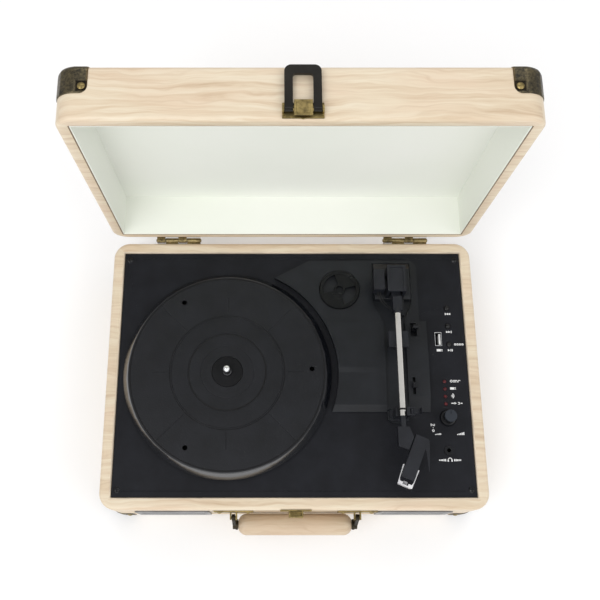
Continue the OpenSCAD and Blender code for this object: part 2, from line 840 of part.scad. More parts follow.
module status_leds() {
    r = 1.55;
    color("#8a1717") at_case() for (i = [0:3]) translate([led_x, led_y - i * led_pitch, 0]) {
        rod_z(board_z + board_t, deck_z + 0.2, 0, 0, r);
        translate([0, 0, deck_z + 0.2]) dome(r, 0.8);
    }
}

module volume_pot() {
    color("#7d8288") at_case() difference() {
        union() {
            rod_z(board_z + board_t, board_z + board_t + 6, knob_x, knob_y, 8);
            rod_z(board_z + board_t + 5, deck_under, knob_x, knob_y, 4.5);
        }
        rod_z(board_z + board_t + 1, deck_under + eps, knob_x, knob_y, 3 + run);
    }
}

module volume_knob() {
    skirt_z = deck_z + 0.4;
    cap_z = skirt_z + 2.2;
    cap_h = 12;
    cap_r = knob_d / 2 - 2.2;
    flutes = 20;
    color("#17171a") at_case() translate([knob_x, knob_y, 0]) difference() {
        union() {
            translate([0, 0, skirt_z]) cylinder(h = cap_z - skirt_z, r1 = knob_d / 2, r2 = knob_d / 2 - 1);
            rod_z(cap_z - eps, cap_z + cap_h, 0, 0, cap_r);
            rod_z(board_z + board_t + 2, skirt_z + eps, 0, 0, 3);
        }
        for (i = [0:flutes - 1]) rotate([0, 0, i * 360 / flutes])
            translate([cap_r + 0.2, 0, cap_z + 0.6]) cylinder(h = cap_h, r = 0.5, $fn = 16);
        span([-0.5, 1, cap_z + cap_h - 0.5], [0.5, cap_r - 1, cap_z + cap_h + eps]);
    }
}

module headphone_jack() {
    depth = 14;
    color("#1a1a1c") at_case() translate([jack_x, jack_y, 0]) difference() {
        union() {
            rod_z(deck_z, deck_z + 1.2, 0, 0, 4.2);
            rod_z(deck_z - depth - 2, deck_z + eps, 0, 0, 3);
        }
        rod_z(deck_z - depth, deck_z + 2, 0, 0, jack_bore_r);
    }
}

module control_board() {
    left = usb_x - 8;
    right = button_x + 12;
    front = jack_y - 12;
    back = button_ys[0] + 10;
    switch_h = 3.8;
    color("#2f6b3c") at_case() difference() {
        union() {
            span([left, front, board_z], [right, back, board_z + board_t]);
            for (x = [left + 4, right - 4], y = [front + 4, back - 4])
                rod_z(board_z, deck_under, x, y, 2.5);
            for (y = button_ys)
                span([button_x - 3, y - 3, board_z + board_t - eps], [button_x + 3, y + 3,
                    board_z + board_t + switch_h]);
        }
        rod_z(board_z - eps, board_z + board_t + eps, jack_x, jack_y, 3.4);
    }
}

// ---- Corner caps ----

// The flat outline of one tab: a square with its far corner rounded, from the cap's corner inwards
module tab_outline(w, h) {
    square([w - cap_round, h]);
    square([w, h - cap_round]);
    translate([w - cap_round, h - cap_round]) circle(cap_round);
}

// What a cap keeps of the shell round the corner at the origin, towards +X, +Y and -Z
module cap_region() {
    reach = cap_reach + cap_t;
    drop = cap_drop + cap_t;
    intersection() {
        translate([0, 0, -reach]) linear_extrude(2 * reach) tab_outline(reach, reach);
        translate([0, reach, 0]) rotate([90, 0, 0]) mirror([0, 1, 0]) linear_extrude(reach)
            tab_outline(reach, drop);
        rotate([0, 90, 0]) linear_extrude(reach) tab_outline(drop, reach);
    }
}

// One cap on the left front corner of a closed box whose top is at Z = 0
module corner_cap() {
    intersection() {
        difference() {
            translate([0, 0, -cap_drop - 10]) linear_extrude(cap_drop + 10 + cap_t)
                round_rect(case_w + 2 * cap_t, case_d + 2 * cap_t, corner_r + cap_t);
            translate([0, 0, -cap_drop - 11]) linear_extrude(cap_drop + 11 + cap_fit)
                round_rect(case_w + 2 * cap_fit, case_d + 2 * cap_fit, corner_r + cap_fit);
        }
        translate([-case_w / 2 - cap_t, -case_d / 2 - cap_t, cap_t]) cap_region();
    }
}

// The rivets of one cap: one on each of its three tabs
module cap_rivet_set() {
    translate([-case_w / 2 + rivet_in, -case_d / 2 - cap_t, -rivet_down]) rotate([90, 0, 0])
        dome(rivet_r, rivet_h);
    translate([-case_w / 2 - cap_t, -case_d / 2 + rivet_in, -rivet_down]) rotate([0, -90, 0])
        dome(rivet_r, rivet_h);
    translate([-case_w / 2 + rivet_in, -case_d / 2 + rivet_in, cap_t]) dome(rivet_r, rivet_h);
}

// Repeats what stands on the left front corner on all four corners
module on_corners() {
    for (x = [0, 1], y = [0, 1]) mirror([x, 0, 0]) mirror([0, y, 0]) children();
}

module base_corner_caps() {
    color("#6f6247") at_case() translate([0, 0, foot_h]) mirror([0, 0, 1]) on_corners() corner_cap();
}

module base_cap_rivets() {
    color("#b9a05c") at_case() translate([0, 0, foot_h]) mirror([0, 0, 1]) on_corners() cap_rivet_set();
}

module lid_corner_caps() {
    color("#6f6247") at_lid() translate([0, 0, lid_top]) on_corners() corner_cap();
}

module lid_cap_rivets() {
    color("#b9a05c") at_lid() translate([0, 0, lid_top]) on_corners() cap_rivet_set();
}

// ---- Lid ----

module lid_shell() {
    color("#e6d3b6") at_lid() difference() {
        translate([0, 0, rim_z + seam]) linear_extrude(lid_h - seam) round_rect(case_w, case_d, corner_r);
        span([-inner_w / 2, -inner_d / 2, rim_z - eps], [inner_w / 2, inner_d / 2, lid_top - lid_board]);
        leaf_screw_places(lid_leaf_z) translate([0, 0, -8.5]) cylinder(h = 9, r = leaf_pilot_r);
    }
}

module lid_lining() {
    play = 0.05;
    w = inner_w / 2 - play;
    d = inner_d / 2 - play;
    color("#dfe6d6") at_lid() difference() {
        span([-w, -d, rim_z + 0.4], [w, d, lid_top - lid_board - play]);
        span([-w + lining_t, -d + lining_t, rim_z - eps], [w - lining_t, d - lining_t,
            lid_top - lid_board - play - lining_t]);
    }
}

// ---- Hinges ----

// Knuckles on the hinge axis, given as [start, length] along the leaf
module knuckles(list, outwards) {
    web_end = hinge_z + outwards * (knuckle_r + gap + eps);
    for (side = [-1, 1], k = list) {
        x0 = side * hinge_x - leaf_w / 2 + k[0] + knuckle_gap / 2;
        x1 = x0 + k[1] - knuckle_gap;
        rod_x(x0, x1, hinge_y, hinge_z, knuckle_r);
        span([x0, back_y + 0.02, min(hinge_z, web_end)], [x1, back_y + leaf_t, max(hinge_z, web_end)]);
    }
}

module hinge_half(list, outwards, leaf_z) {
    difference() {
        union() {
            knuckles(list, outwards);
            for (side = [-1, 1])
                span([side * hinge_x - leaf_w / 2, back_y + 0.02, leaf_z - leaf_h / 2],
                    [side * hinge_x + leaf_w / 2, back_y + leaf_t, leaf_z + leaf_h / 2]);
        }
        for (side = [-1, 1])
            rod_x(side * hinge_x - leaf_w, side * hinge_x + leaf_w, hinge_y, hinge_z, hinge_pin_r + run);
        leaf_screw_places(leaf_z) translate([0, 0, -eps])
            cylinder(h = leaf_t + 2 * eps, r = leaf_screw_r + 0.1);
    }
}

module hinge_base_leaves() {
    color("#a58a4c") at_case() hinge_half(base_knuckles, -1, base_leaf_z);
}

module hinge_lid_leaves() {
    color("#a58a4c") at_lid() hinge_half(lid_knuckles, 1, lid_leaf_z);
}

module hinge_pins() {
    color("#8d7439") at_case() for (side = [-1, 1]) {
        rod_x(side * hinge_x - leaf_w / 2, side * hinge_x + leaf_w / 2, hinge_y, hinge_z, hinge_pin_r);
        for (end = [-1, 1])
            translate([side * hinge_x + end * leaf_w / 2, hinge_y, hinge_z]) rotate([0, end * 90, 0])
                dome(1.8, 0.9);
    }
}

module hinge_base_screws() {
    color("#b9a05c") at_case() leaf_screw_places(base_leaf_z) translate([0, 0, leaf_t])
        pan_screw(2.3, 1, leaf_screw_r, 9);
}

module hinge_lid_screws() {
    color("#b9a05c") at_lid() leaf_screw_places(lid_leaf_z) translate([0, 0, leaf_t])
        pan_screw(2.3, 1, leaf_screw_r, 9);
}

// ---- Latch ----

module latch_plate() {
    half = 14.8;
    ear_t = 1.2;
    t = 1.2;
    color("#a58a4c") at_lid() at_middle() {
        span([-half, front_y - t, rim_z + 1], [half, front_y - 0.02, rim_z + 13]);
        translate([0, front_y - 0.02, 0]) rotate([90, 0, 0]) linear_extrude(t - 0.02)
            polygon([[-2.4, rim_z + 1.2], [2.4, rim_z + 1.2], [0, rim_z + 0.4]]);
        for (side = [-1, 1]) translate([side * (half - ear_t / 2), 0, 0])
            span([-ear_t / 2, latch_pin_y - 1.9, latch_pin_z - 2.4], [ear_t / 2, front_y - t + 0.1,
                latch_pin_z + 2.4]);
        rod_x(-half, half, latch_pin_y, latch_pin_z, latch_pin_r);
    }
}

module latch_lever() {
    w = lever_w / 2;
    top_r = 5;
    open_r = 2.4;
    color("#2b2a2a") at_lid() at_middle() difference() {
        union() {
            translate([0, latch_pin_y + lever_t / 2, 0]) rotate([90, 0, 0]) linear_extrude(lever_t)
                difference() {
                union() {
                    translate([-w, latch_pin_z]) square([lever_w, lever_top - latch_pin_z - top_r]);
                    translate([-w + top_r, lever_top - top_r - eps])
                        square([lever_w - 2 * top_r, top_r + eps]);
                    for (side = [-1, 1]) translate([side * (w - top_r), lever_top - top_r]) circle(top_r);
                }
                translate([-w + lever_bar, latch_pin_z - eps])
                    square([lever_w - 2 * lever_bar, lever_top - latch_pin_z - lever_head - open_r]);
                translate([-w + lever_bar + open_r, latch_pin_z])
                    square([lever_w - 2 * lever_bar - 2 * open_r, lever_top - latch_pin_z - lever_head]);
                for (side = [-1, 1])
                    translate([side * (w - lever_bar - open_r), lever_top - lever_head - open_r])
                        circle(open_r);
            }
            for (side = [-1, 1])
                rod_x(side < 0 ? -w : w - lever_bar, side < 0 ? -w + lever_bar : w, latch_pin_y,
                    latch_pin_z, lever_t / 2 + 0.4);
            rod_x(-w + lever_bar - eps, w - lever_bar + eps, latch_pin_y, link_pin_z, link_pin_r);
        }
        rod_x(-w - eps, w + eps, latch_pin_y, latch_pin_z, latch_pin_r + run);
    }
}

module latch_link() {
    w = 6.5;
    t = 1.2;
    plate_y = latch_pin_y - 2.1;
    low = rim_z + 0.5;
    high = rim_z + 12.6;
    color("#b09352") at_lid() at_middle() difference() {
        union() {
            rod_x(-w, w, latch_pin_y, link_pin_z, 1.8);
            span([-w, plate_y - t, link_pin_z - 1.4], [w, latch_pin_y, high - 0.2]);
            span([-w, plate_y - t, low], [w, plate_y, high]);
            span([-w + 1.6, plate_y - t - 0.5, low + 1.8], [w - 1.6, plate_y - t + 0.1, high - 2]);
        }
        rod_x(-w - eps, w + eps, latch_pin_y, link_pin_z, link_pin_r + run);
    }
}

module latch_keeper() {
    half = 14;
    box = 6.5;
    t = 1;
    reach = 6.5;
    wall = 1.6;
    color("#a58a4c") at_case() at_middle() difference() {
        union() {
            span([-half, front_y - t, rim_z - 12.5], [half, front_y - 0.02, rim_z - 0.8]);
            span([-box, front_y - reach, rim_z - 10.5], [box, front_y - t + 0.1, rim_z - 3]);
        }
        span([-box + wall, front_y - reach + wall, rim_z - 9.4], [box - wall, front_y - t, rim_z]);
    }
}

// ---- Handle ----

prong_t = 1.4;
prong_gap = 3.8;
handle_pin_r = 1.25;

module handle_plates() {
    half = 18;
    t = 1.1;
    bolt_z = handle_pivot_z;
    color("#8f7c4f") at_case() at_middle() for (side = [-1, 1]) {
        span([side * knuckle_x - half, front_y - t, bolt_z - 9], [side * knuckle_x + half,
            front_y - 0.02, bolt_z + 9]);
        for (dx = [-1, 1]) translate([side * knuckle_x + dx * (prong_gap + prong_t) / 2, 0, 0])
            span([-prong_t / 2, handle_pivot_y - 2.2, bolt_z - 2.4], [prong_t / 2, front_y - t + 0.1,
                bolt_z + 2.4]);
        rod_x(side * knuckle_x - prong_gap / 2 - prong_t, side * knuckle_x + prong_gap / 2 + prong_t,
            handle_pivot_y, handle_pivot_z, handle_pin_r);
        for (dx = [-13, 13]) translate([side * knuckle_x + dx, front_y - t, bolt_z])
            rotate([90, 0, 0]) dome(2.4, 1.2);
    }
}

module handle_ends() {
    strap = prong_gap - 0.8;
    disc_r = 4.8;
    dy = grip_y - handle_pivot_y;
    dz = grip_z - handle_pivot_z;
    drop = sqrt(dy * dy + dz * dz);
    lean = atan2(dy, -dz);
    color("#5f5640") at_case() at_middle() difference() {
        union() for (side = [-1, 1]) {
            rod_x(side * knuckle_x - strap / 2, side * knuckle_x + strap / 2, handle_pivot_y,
                handle_pivot_z, 2.9);
            translate([side * knuckle_x, handle_pivot_y, handle_pivot_z]) rotate([lean, 0, 0])
                translate([-strap / 2, -2.4, -drop]) cube([strap, 4.8, drop]);
            rod_x(side * knuckle_x - strap / 2, side * knuckle_x + strap / 2, grip_y, grip_z, disc_r - 0.6);
            translate([side * (grip_len / 2 + 1.1), 0, 0]) rod_x(-1.1, 1.1, grip_y, grip_z, disc_r);
        }
        for (side = [-1, 1])
            rod_x(side * knuckle_x - strap, side * knuckle_x + strap, handle_pivot_y, handle_pivot_z,
                handle_pin_r + run);
    }
}

module handle_grip() {
    r = grip_d / 2;
    end_r = 8.2;
    half = grip_len / 2;
    color("#e0c9a4") at_case() at_middle() translate([0, grip_y, grip_z]) rotate([0, 90, 0])
        rotate_extrude() {
        translate([0, -half]) square([r - end_r, grip_len]);
        translate([0, -half + end_r]) square([r, grip_len - 2 * end_r]);
        for (side = [-1, 1]) translate([r - end_r, side * (half - end_r)]) intersection() {
            circle(end_r);
            translate([0, -end_r]) square([end_r, 2 * end_r]);
        }
    }
}

// ---- Speakers and rear sockets ----

module speaker_grilles() {
    w = 68;
    h = 44;
    t = 1.2;
    slot_h = 2.2;
    slot_w = 56;
    rows = 8;
    pitch = 4.4;
    color("#8c8d8c") at_case() for (side = [-1, 1]) translate([side * speaker_x, front_y - 0.02, speaker_z])
        rotate([90, 0, 0]) linear_extrude(t) difference() {
            round_rect(w, h, 4);
            for (i = [0:rows - 1]) translate([0, (i - (rows - 1) / 2) * pitch])
                round_rect(slot_w, slot_h, 1);
        }
}

module speaker_drivers() {
    wall_y = front_y + wall_t;
    color("#3a3a3d") at_case() for (side = [-1, 1]) {
        rod_y(wall_y, wall_y + 2, side * speaker_x, speaker_z, 29);
        rod_y(wall_y + 1.5, wall_y + 16, side * speaker_x, speaker_z, 26, 15);
        rod_y(wall_y + 15.5, wall_y + 27, side * speaker_x, speaker_z, 17);
    }
}

module dc_inlet() {
    color("#1b1b1d") at_case() {
        difference() {
            union() {
                rod_y(back_y - wall_t - 4, back_y + 0.6, dc_x, rear_z, 5);
                rod_y(back_y + 0.1, back_y + 1.6, dc_x, rear_z, 6.4);
            }
            rod_y(back_y - wall_t, back_y + 3, dc_x, rear_z, 2.9);
        }
        rod_y(back_y - wall_t - 1, back_y - 1, dc_x, rear_z, 1);
    }
}

module line_in_jack() {
    color("#1b1b1d") at_case() difference() {
        union() {
            rod_y(back_y - wall_t - 6, back_y + 0.6, line_x, rear_z, 5);
            rod_y(back_y + 0.1, back_y + 1.6, line_x, rear_z, 6.4);
        }
        rod_y(back_y - 12.4, back_y + 3, line_x, rear_z, jack_bore_r);
    }
}

base_case();
rubber_feet();
deck_plate();
deck_screws();
mech_cover();
drive_plate();
spindle();
drive_belt();
motor();
arm_pedestal();
arm_rest();
usb_shell();
usb_tongue();
status_leds();
volume_pot();
headphone_jack();
control_board();
base_corner_caps();
base_cap_rivets();
hinge_base_leaves();
hinge_pins();
hinge_base_screws();
latch_keeper();
handle_plates();
speaker_grilles();
speaker_drivers();
dc_inlet();
line_in_jack();
lid_shell();
lid_lining();
lid_corner_caps();
lid_cap_rivets();
hinge_lid_leaves();
hinge_lid_screws();
latch_plate();
latch_lever();
latch_link();
platter();
platter_hub();
motor_pulley();
arm_yoke();
arm_leads();
arm_neck();
arm_tube();
arm_ring();
headshell();
cartridge();
stylus();
stylus_guard();
arm_clip();
cue_lever();
cue_platform();
speed_lever();
volume_knob();
button_prev();
button_next();
button_play();
adapter_45();
handle_grip();
handle_ends();
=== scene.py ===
"""The look of the suitcase record player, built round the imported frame.

Mesh helpers work in millimetres in the model's own frame. Material nodes see metres."""
import bpy, bmesh, json, math
from mathutils import Matrix, Vector


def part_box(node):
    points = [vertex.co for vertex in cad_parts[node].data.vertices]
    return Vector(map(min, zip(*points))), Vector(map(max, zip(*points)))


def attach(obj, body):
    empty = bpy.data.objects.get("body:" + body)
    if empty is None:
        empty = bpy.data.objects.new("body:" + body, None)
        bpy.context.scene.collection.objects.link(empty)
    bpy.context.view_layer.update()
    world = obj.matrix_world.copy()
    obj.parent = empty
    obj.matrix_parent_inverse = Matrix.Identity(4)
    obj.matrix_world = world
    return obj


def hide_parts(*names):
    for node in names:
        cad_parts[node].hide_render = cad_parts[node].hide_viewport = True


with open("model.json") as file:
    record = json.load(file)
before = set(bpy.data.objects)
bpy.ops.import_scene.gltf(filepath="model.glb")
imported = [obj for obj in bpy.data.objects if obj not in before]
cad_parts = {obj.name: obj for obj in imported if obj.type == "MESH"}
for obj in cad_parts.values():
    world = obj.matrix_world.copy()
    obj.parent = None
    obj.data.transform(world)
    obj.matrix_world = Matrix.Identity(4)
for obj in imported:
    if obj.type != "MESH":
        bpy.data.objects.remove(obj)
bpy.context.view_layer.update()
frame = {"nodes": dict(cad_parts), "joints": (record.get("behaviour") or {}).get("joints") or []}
NODES = frame["nodes"]
MM = 0.001

JOINT = {j["name"]: j for j in frame["joints"]}


def centre(node):
    lo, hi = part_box(node)
    return (lo + hi) / 2 / MM


def low(node):
    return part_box(node)[0] / MM


def high(node):
    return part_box(node)[1] / MM


# ---------------------------------------------------------------- sizes taken from the frame
CASE = centre("base_case")
CY = CASE.y
CASE_W = high("base_case").x - low("base_case").x
CASE_D = high("base_case").y - low("base_case").y
RIM = high("base_case").z
BASE_LOW = low("base_case").z
DECK = high("deck_plate").z
WALL = (CASE_W - (high("lid_lining").x - low("lid_lining").x)) / 2
CORNER = 15.0
LID_H = 43.0
HINGE = Vector(JOINT["lid_hinge"]["pos_m"]) / MM
LID_OPEN_DEG = 87.5
SHUT_TO_OPEN = (Matrix.Translation(HINGE) @ Matrix.Rotation(math.radians(-LID_OPEN_DEG), 4, "X")
                @ Matrix.Translation(-HINGE))
RIVET_IN, RIVET_DOWN = 19.8, 16.5       # a cap's rivets, from the corner and from the face
PLATTER = centre("platter")
KNOB_CAP_LOW = high("volume_knob").z - 1.6


# ---------------------------------------------------------------- materials
class Surface:
    """A principled material with small helpers for its procedural nodes."""

    def __init__(self, name, color, rough, metal=0.0, **sockets):
        self.mat = bpy.data.materials.new(name)
        self.mat.use_nodes = True
        self.tree = self.mat.node_tree
        self.shader = self.tree.nodes["Principled BSDF"]
        self.set("Base Color", (*color, 1))
        self.set("Roughness", rough)
        self.set("Metallic", metal)
        for key, value in sockets.items():
            self.set(key.replace("_", " "), value)

    def set(self, socket, value):
        self.shader.inputs[socket].default_value = value

    def node(self, kind, props=None, **inputs):
        made = self.tree.nodes.new(kind)
        for key, value in (props or {}).items():
            setattr(made, key, value)
        for key, value in inputs.items():
            self.plug(made.inputs[key.replace("_", " ")], value)
        return made

    def plug(self, socket, value):
        if isinstance(value, bpy.types.NodeSocket):
            self.tree.links.new(value, socket)
        else:
            socket.default_value = value

    def coords(self, scale=(1, 1, 1), kind="Object"):
        source = self.node("ShaderNodeTexCoord").outputs[kind]
        return self.node("ShaderNodeMapping", Vector=source, Scale=scale).outputs["Vector"]

    def noise(self, vector, scale=1.0, detail=4.0, rough=0.55, distortion=0.0):
        return self.node("ShaderNodeTexNoise", Vector=vector, Scale=scale, Detail=detail,
                         Roughness=rough, Distortion=distortion).outputs[0]

    def cells(self, vector, scale):
        return self.node("ShaderNodeTexVoronoi", {"feature": "SMOOTH_F1"}, Vector=vector,
                         Scale=scale).outputs["Distance"]

    def math(self, op, a, b=0.0, c=None):
        made = self.node("ShaderNodeMath", {"operation": op})
        self.plug(made.inputs[0], a)
        self.plug(made.inputs[1], b)
        if c is not None:
            self.plug(made.inputs[2], c)
        return made.outputs[0]

    def ramp(self, factor, stops):
        """Stops are (place, value), the value a grey or a colour."""
        made = self.node("ShaderNodeValToRGB", Fac=factor)
        band = made.color_ramp
        while len(band.elements) < len(stops):
            band.elements.new(0.5)
        for element, (place, value) in zip(band.elements, stops):
            element.position = place
            element.color = (*value, 1) if isinstance(value, tuple) else (value, value, value, 1)
        return made.outputs["Color"]

    def mix(self, factor, a, b):
        """Colour a where the factor is 0, and b where it is 1."""
        made = self.node("ShaderNodeMix", {"data_type": "RGBA"})
        self.plug(made.inputs[0], factor)
        for socket, value in ((made.inputs[6], a), (made.inputs[7], b)):
            self.plug(socket, value if isinstance(value, bpy.types.NodeSocket) else (*value, 1))
        return made.outputs[2]

    def join(self, x, y, z):
        return self.node("ShaderNodeCombineXYZ", X=x, Y=y, Z=z).outputs[0]

    def split(self, vector):
        return self.node("ShaderNodeSeparateXYZ", Vector=vector).outputs

    def stretch(self, vector, *scales):
        """The vector with each of its parts multiplied."""
        return self.join(*(self.math("MULTIPLY", part, k) for part, k in zip(vector, scales)))

    def radius(self, place, axis):
        """Distance in metres from an upright axis, given in millimetres."""
        x, y, _ = self.split(place)
        dx = self.math("SUBTRACT", x, axis.x * MM)
        dy = self.math("SUBTRACT", y, axis.y * MM)
        return self.math("SQRT", self.math("ADD", self.math("MULTIPLY", dx, dx),
                                           self.math("MULTIPLY", dy, dy)))

    def bump(self, height, strength, distance):
        return self.node("ShaderNodeBump", Height=height, Strength=strength,
                         Distance=distance).outputs["Normal"]

    def color(self, value):
        self.plug(self.shader.inputs["Base Color"], value)

    def rough(self, value):
        self.plug(self.shader.inputs["Roughness"], value)

    def normal(self, value):
        self.plug(self.shader.inputs["Normal"], value)


def wood_wrap(name, kind, shade):
    """Pale printed wood-grain wrap, its colours times the shade. The grain runs along the first
    of its coordinates, which are UV or Object."""

    def tone(r, g, b):
        return (r * shade[0], g * shade[1], b * shade[2])

    s = Surface(name, tone(0.7, 0.56, 0.4), 0.5, Coat_Weight=0.06, Coat_Roughness=0.35)
    x, y, z = s.split(s.coords(kind=kind))
    sway = s.noise(s.stretch((x, y, z), 11, 30, 30), 1.0, 3.0, 0.55)
    bend = s.math("MULTIPLY_ADD", sway, 0.02, y)
    streak = s.noise(s.stretch((x, bend, z), 10, 230, 230), 1.0, 5.0, 0.62, 0.5)
    fine = s.noise(s.stretch((x, bend, z), 40, 900, 900), 1.0, 3.0, 0.6)
    blotch = s.noise(s.stretch((x, y, z), 14, 40, 40), 1.0, 2.0, 0.5)
    ring = s.math("SINE", s.math("MULTIPLY_ADD", bend, 900, s.math("MULTIPLY", sway, 26)))
    ring = s.math("MULTIPLY_ADD", ring, 0.5, 0.5)
    base = s.ramp(streak, [(0.26, tone(0.53, 0.37, 0.235)), (0.41, tone(0.685, 0.53, 0.37)),
                           (0.56, tone(0.765, 0.63, 0.465)), (0.8, tone(0.8, 0.69, 0.54))])
    line = s.math("MULTIPLY", s.math("POWER", ring, 7.0), s.ramp(blotch, [(0.45, 0.0), (0.62, 1.0)]))
    tint = s.mix(s.ramp(line, [(0.0, 0.0), (1.0, 0.38)]), base, tone(0.5, 0.355, 0.225))
    tint = s.mix(s.ramp(fine, [(0.5, 0.0), (0.75, 0.3)]), tint, tone(0.58, 0.43, 0.28))
    tint = s.mix(s.ramp(blotch, [(0.45, 0.0), (0.72, 0.55)]), tint, tone(0.74, 0.545, 0.39))
    s.color(tint)
    s.rough(s.math("MULTIPLY_ADD", fine, 0.14, 0.4))
    s.normal(s.bump(s.math("ADD", fine, streak), 0.1, 0.0002))
    return s.mat


def lining_cloth():
    """Smooth pale green-cream lining paper with a soft fleck."""
    s = Surface("lining", (0.83, 0.85, 0.78), 0.62)
    place = s.coords()
    cloud = s.noise(place, 7.0, 3.0)
    fleck = s.noise(place, 900.0, 2.0)
    s.color(s.mix(s.ramp(cloud, [(0.3, 0.0), (0.75, 1.0)]), (0.815, 0.84, 0.765), (0.85, 0.86, 0.805)))
    s.rough(s.math("MULTIPLY_ADD", fleck, 0.2, 0.5))
    s.normal(s.bump(fleck, 0.12, 0.0001))
    return s.mat


def moulded(name, color, rough, grain, size=1500.0, depth=0.00012, spread=0.18, **sockets):
    """Moulded plastic with a spark-eroded grain, faint colour drift and light handling marks."""
    s = Surface(name, color, rough, **sockets)
    place = s.coords()
    pebble = s.cells(place, size)
    mottle = s.noise(place, 45.0, 3.0)
    scuff = s.noise(place, 320.0, 5.0, 0.7)
    bright = tuple(min(1.0, c * 1.35 + 0.002) for c in color)
    dark = tuple(c * 0.78 for c in color)
    s.color(s.mix(s.ramp(mottle, [(0.3, 0.0), (0.75, 1.0)]), dark, bright))
    s.rough(s.math("MULTIPLY_ADD", s.math("SUBTRACT", scuff, 0.5), spread, rough))
    s.normal(s.bump(s.math("ADD", pebble, s.math("MULTIPLY", scuff, 0.3)), grain, depth))
    return s.mat


def aged_metal(name, color, dark, rough, amount, size):
    """Antiqued plating: bright where it is rubbed, dark in its blotches."""
    s = Surface(name, color, rough, 1.0)
    place = s.coords()
    patina = s.noise(place, size, 5.0, 0.65)
    broad = s.noise(place, size * 0.2, 3.0)
    fine = s.noise(place, size * 9, 3.0)
    wear = s.ramp(s.math("MULTIPLY_ADD", broad, 0.45, s.math("MULTIPLY", patina, 0.55)),
                  [(0.36, 1.0), (0.62, 0.0)])
    s.color(s.mix(s.math("MULTIPLY", wear, amount), color, dark))
    s.rough(s.math("MULTIPLY_ADD", wear, 0.22, s.math("MULTIPLY_ADD", fine, 0.12, rough)))
    s.normal(s.bump(s.math("ADD", patina, s.math("MULTIPLY", fine, 0.4)), 0.25, 0.00012))
    return s.mat


def brushed(name, color, rough, along, grade=0.25):
    """Drawn or turned metal with fine lines along one direction."""
    s = Surface(name, color, rough, 1.0)
    lines = s.noise(s.coords(along), 1.0, 4.0, 0.6)
    smear = s.noise(s.coords(), 90.0, 3.0)
    s.color(s.mix(s.ramp(smear, [(0.3, 0.0), (0.8, 0.35)]), color, tuple(c * 0.8 for c in color)))
    s.rough(s.math("MULTIPLY_ADD", lines, grade, rough - grade * 0.4))
    s.normal(s.bump(lines, 0.08, 0.0001))
    return s.mat


def clear_red():
    """Dark red lens plastic, as on the unlit lamps and the stylus."""
    s = Surface("red_lens", (0.1, 0.006, 0.008), 0.3, Specular_IOR_Level=0.35)
    place = s.coords()
    cloud = s.ramp(s.noise(place, 700.0, 2.0), [(0.35, 0.0), (0.7, 1.0)])
    s.color(s.mix(cloud, (0.05, 0.004, 0.006), (0.14, 0.01, 0.015)))
    s.normal(s.bump(s.noise(place, 1800.0, 2.0), 0.05, 0.0001))
    return s.mat


# Painted shade in the fine grooves on the platter's face: radius and width in millimetres, and how dark
GROOVE_SHADES = ((13.9, 1.0, 0.9), (20.0, 0.5, 0.4), (35.6, 0.75, 0.9), (53.5, 0.6, 0.55), (90.2, 0.7, 0.8))


def platter_plastic():
    """Matt grained top, with a polished bevel and skirt outside the face."""
    s = Surface("platter_black", (0.0055, 0.006, 0.0078), 0.4, Specular_IOR_Level=0.3,
                Coat_Roughness=0.12, Coat_IOR=2.1)
    place = s.coords()
    radius = s.radius(place, PLATTER)
    bevel = s.ramp(s.math("MULTIPLY", radius, 10.0), [(0.915, 0.0), (0.925, 1.0)])
    pebble = s.cells(place, 900.0)
    scuff = s.noise(place, 320.0, 5.0, 0.7)
    flat = s.math("SUBTRACT", 1.0, bevel)
    tint = s.mix(s.ramp(s.noise(place, 45.0, 3.0), [(0.3, 0.0), (0.75, 1.0)]),
                 (0.0042, 0.0048, 0.0066), (0.0082, 0.009, 0.0122))
    # Painted shade: a dark ring at each groove's radius stands in for the shadow in the groove
    for groove, width, dark in GROOVE_SHADES:
        away = s.math("ABSOLUTE", s.math("SUBTRACT", radius, groove * MM))
        line = s.ramp(s.math("MULTIPLY", away, 1.0 / (width * MM)), [(0.4, dark), (0.95, 0.0)])
        tint = s.mix(line, tint, (0.0006, 0.0006, 0.0008))
    s.color(tint)
    s.rough(s.math("MULTIPLY_ADD", flat, 0.22, s.math("MULTIPLY_ADD", scuff, 0.14, 0.12)))
    s.plug(s.shader.inputs["Coat Weight"], s.math("MULTIPLY", bevel, 0.9))
    s.normal(s.bump(s.math("MULTIPLY", pebble, flat), 0.5, 0.00014))
    return s.mat


def spindle_chrome():
    """Polished pin in a darkened collar."""
    s = Surface("spindle_chrome", (0.82, 0.83, 0.85), 0.1, 1.0)
    radius = s.radius(s.coords(), PLATTER)
    collar = s.ramp(s.math("MULTIPLY", radius, 100.0), [(0.355, 0.0), (0.365, 1.0)])
    turned = s.noise(s.coords((500, 500, 60)), 1.0, 4.0)
    s.color(s.mix(collar, (0.82, 0.83, 0.85), (0.02, 0.02, 0.022)))
    s.rough(s.math("MULTIPLY_ADD", turned, 0.08, 0.07))
    s.normal(s.bump(turned, 0.08, 0.0001))
    return s.mat


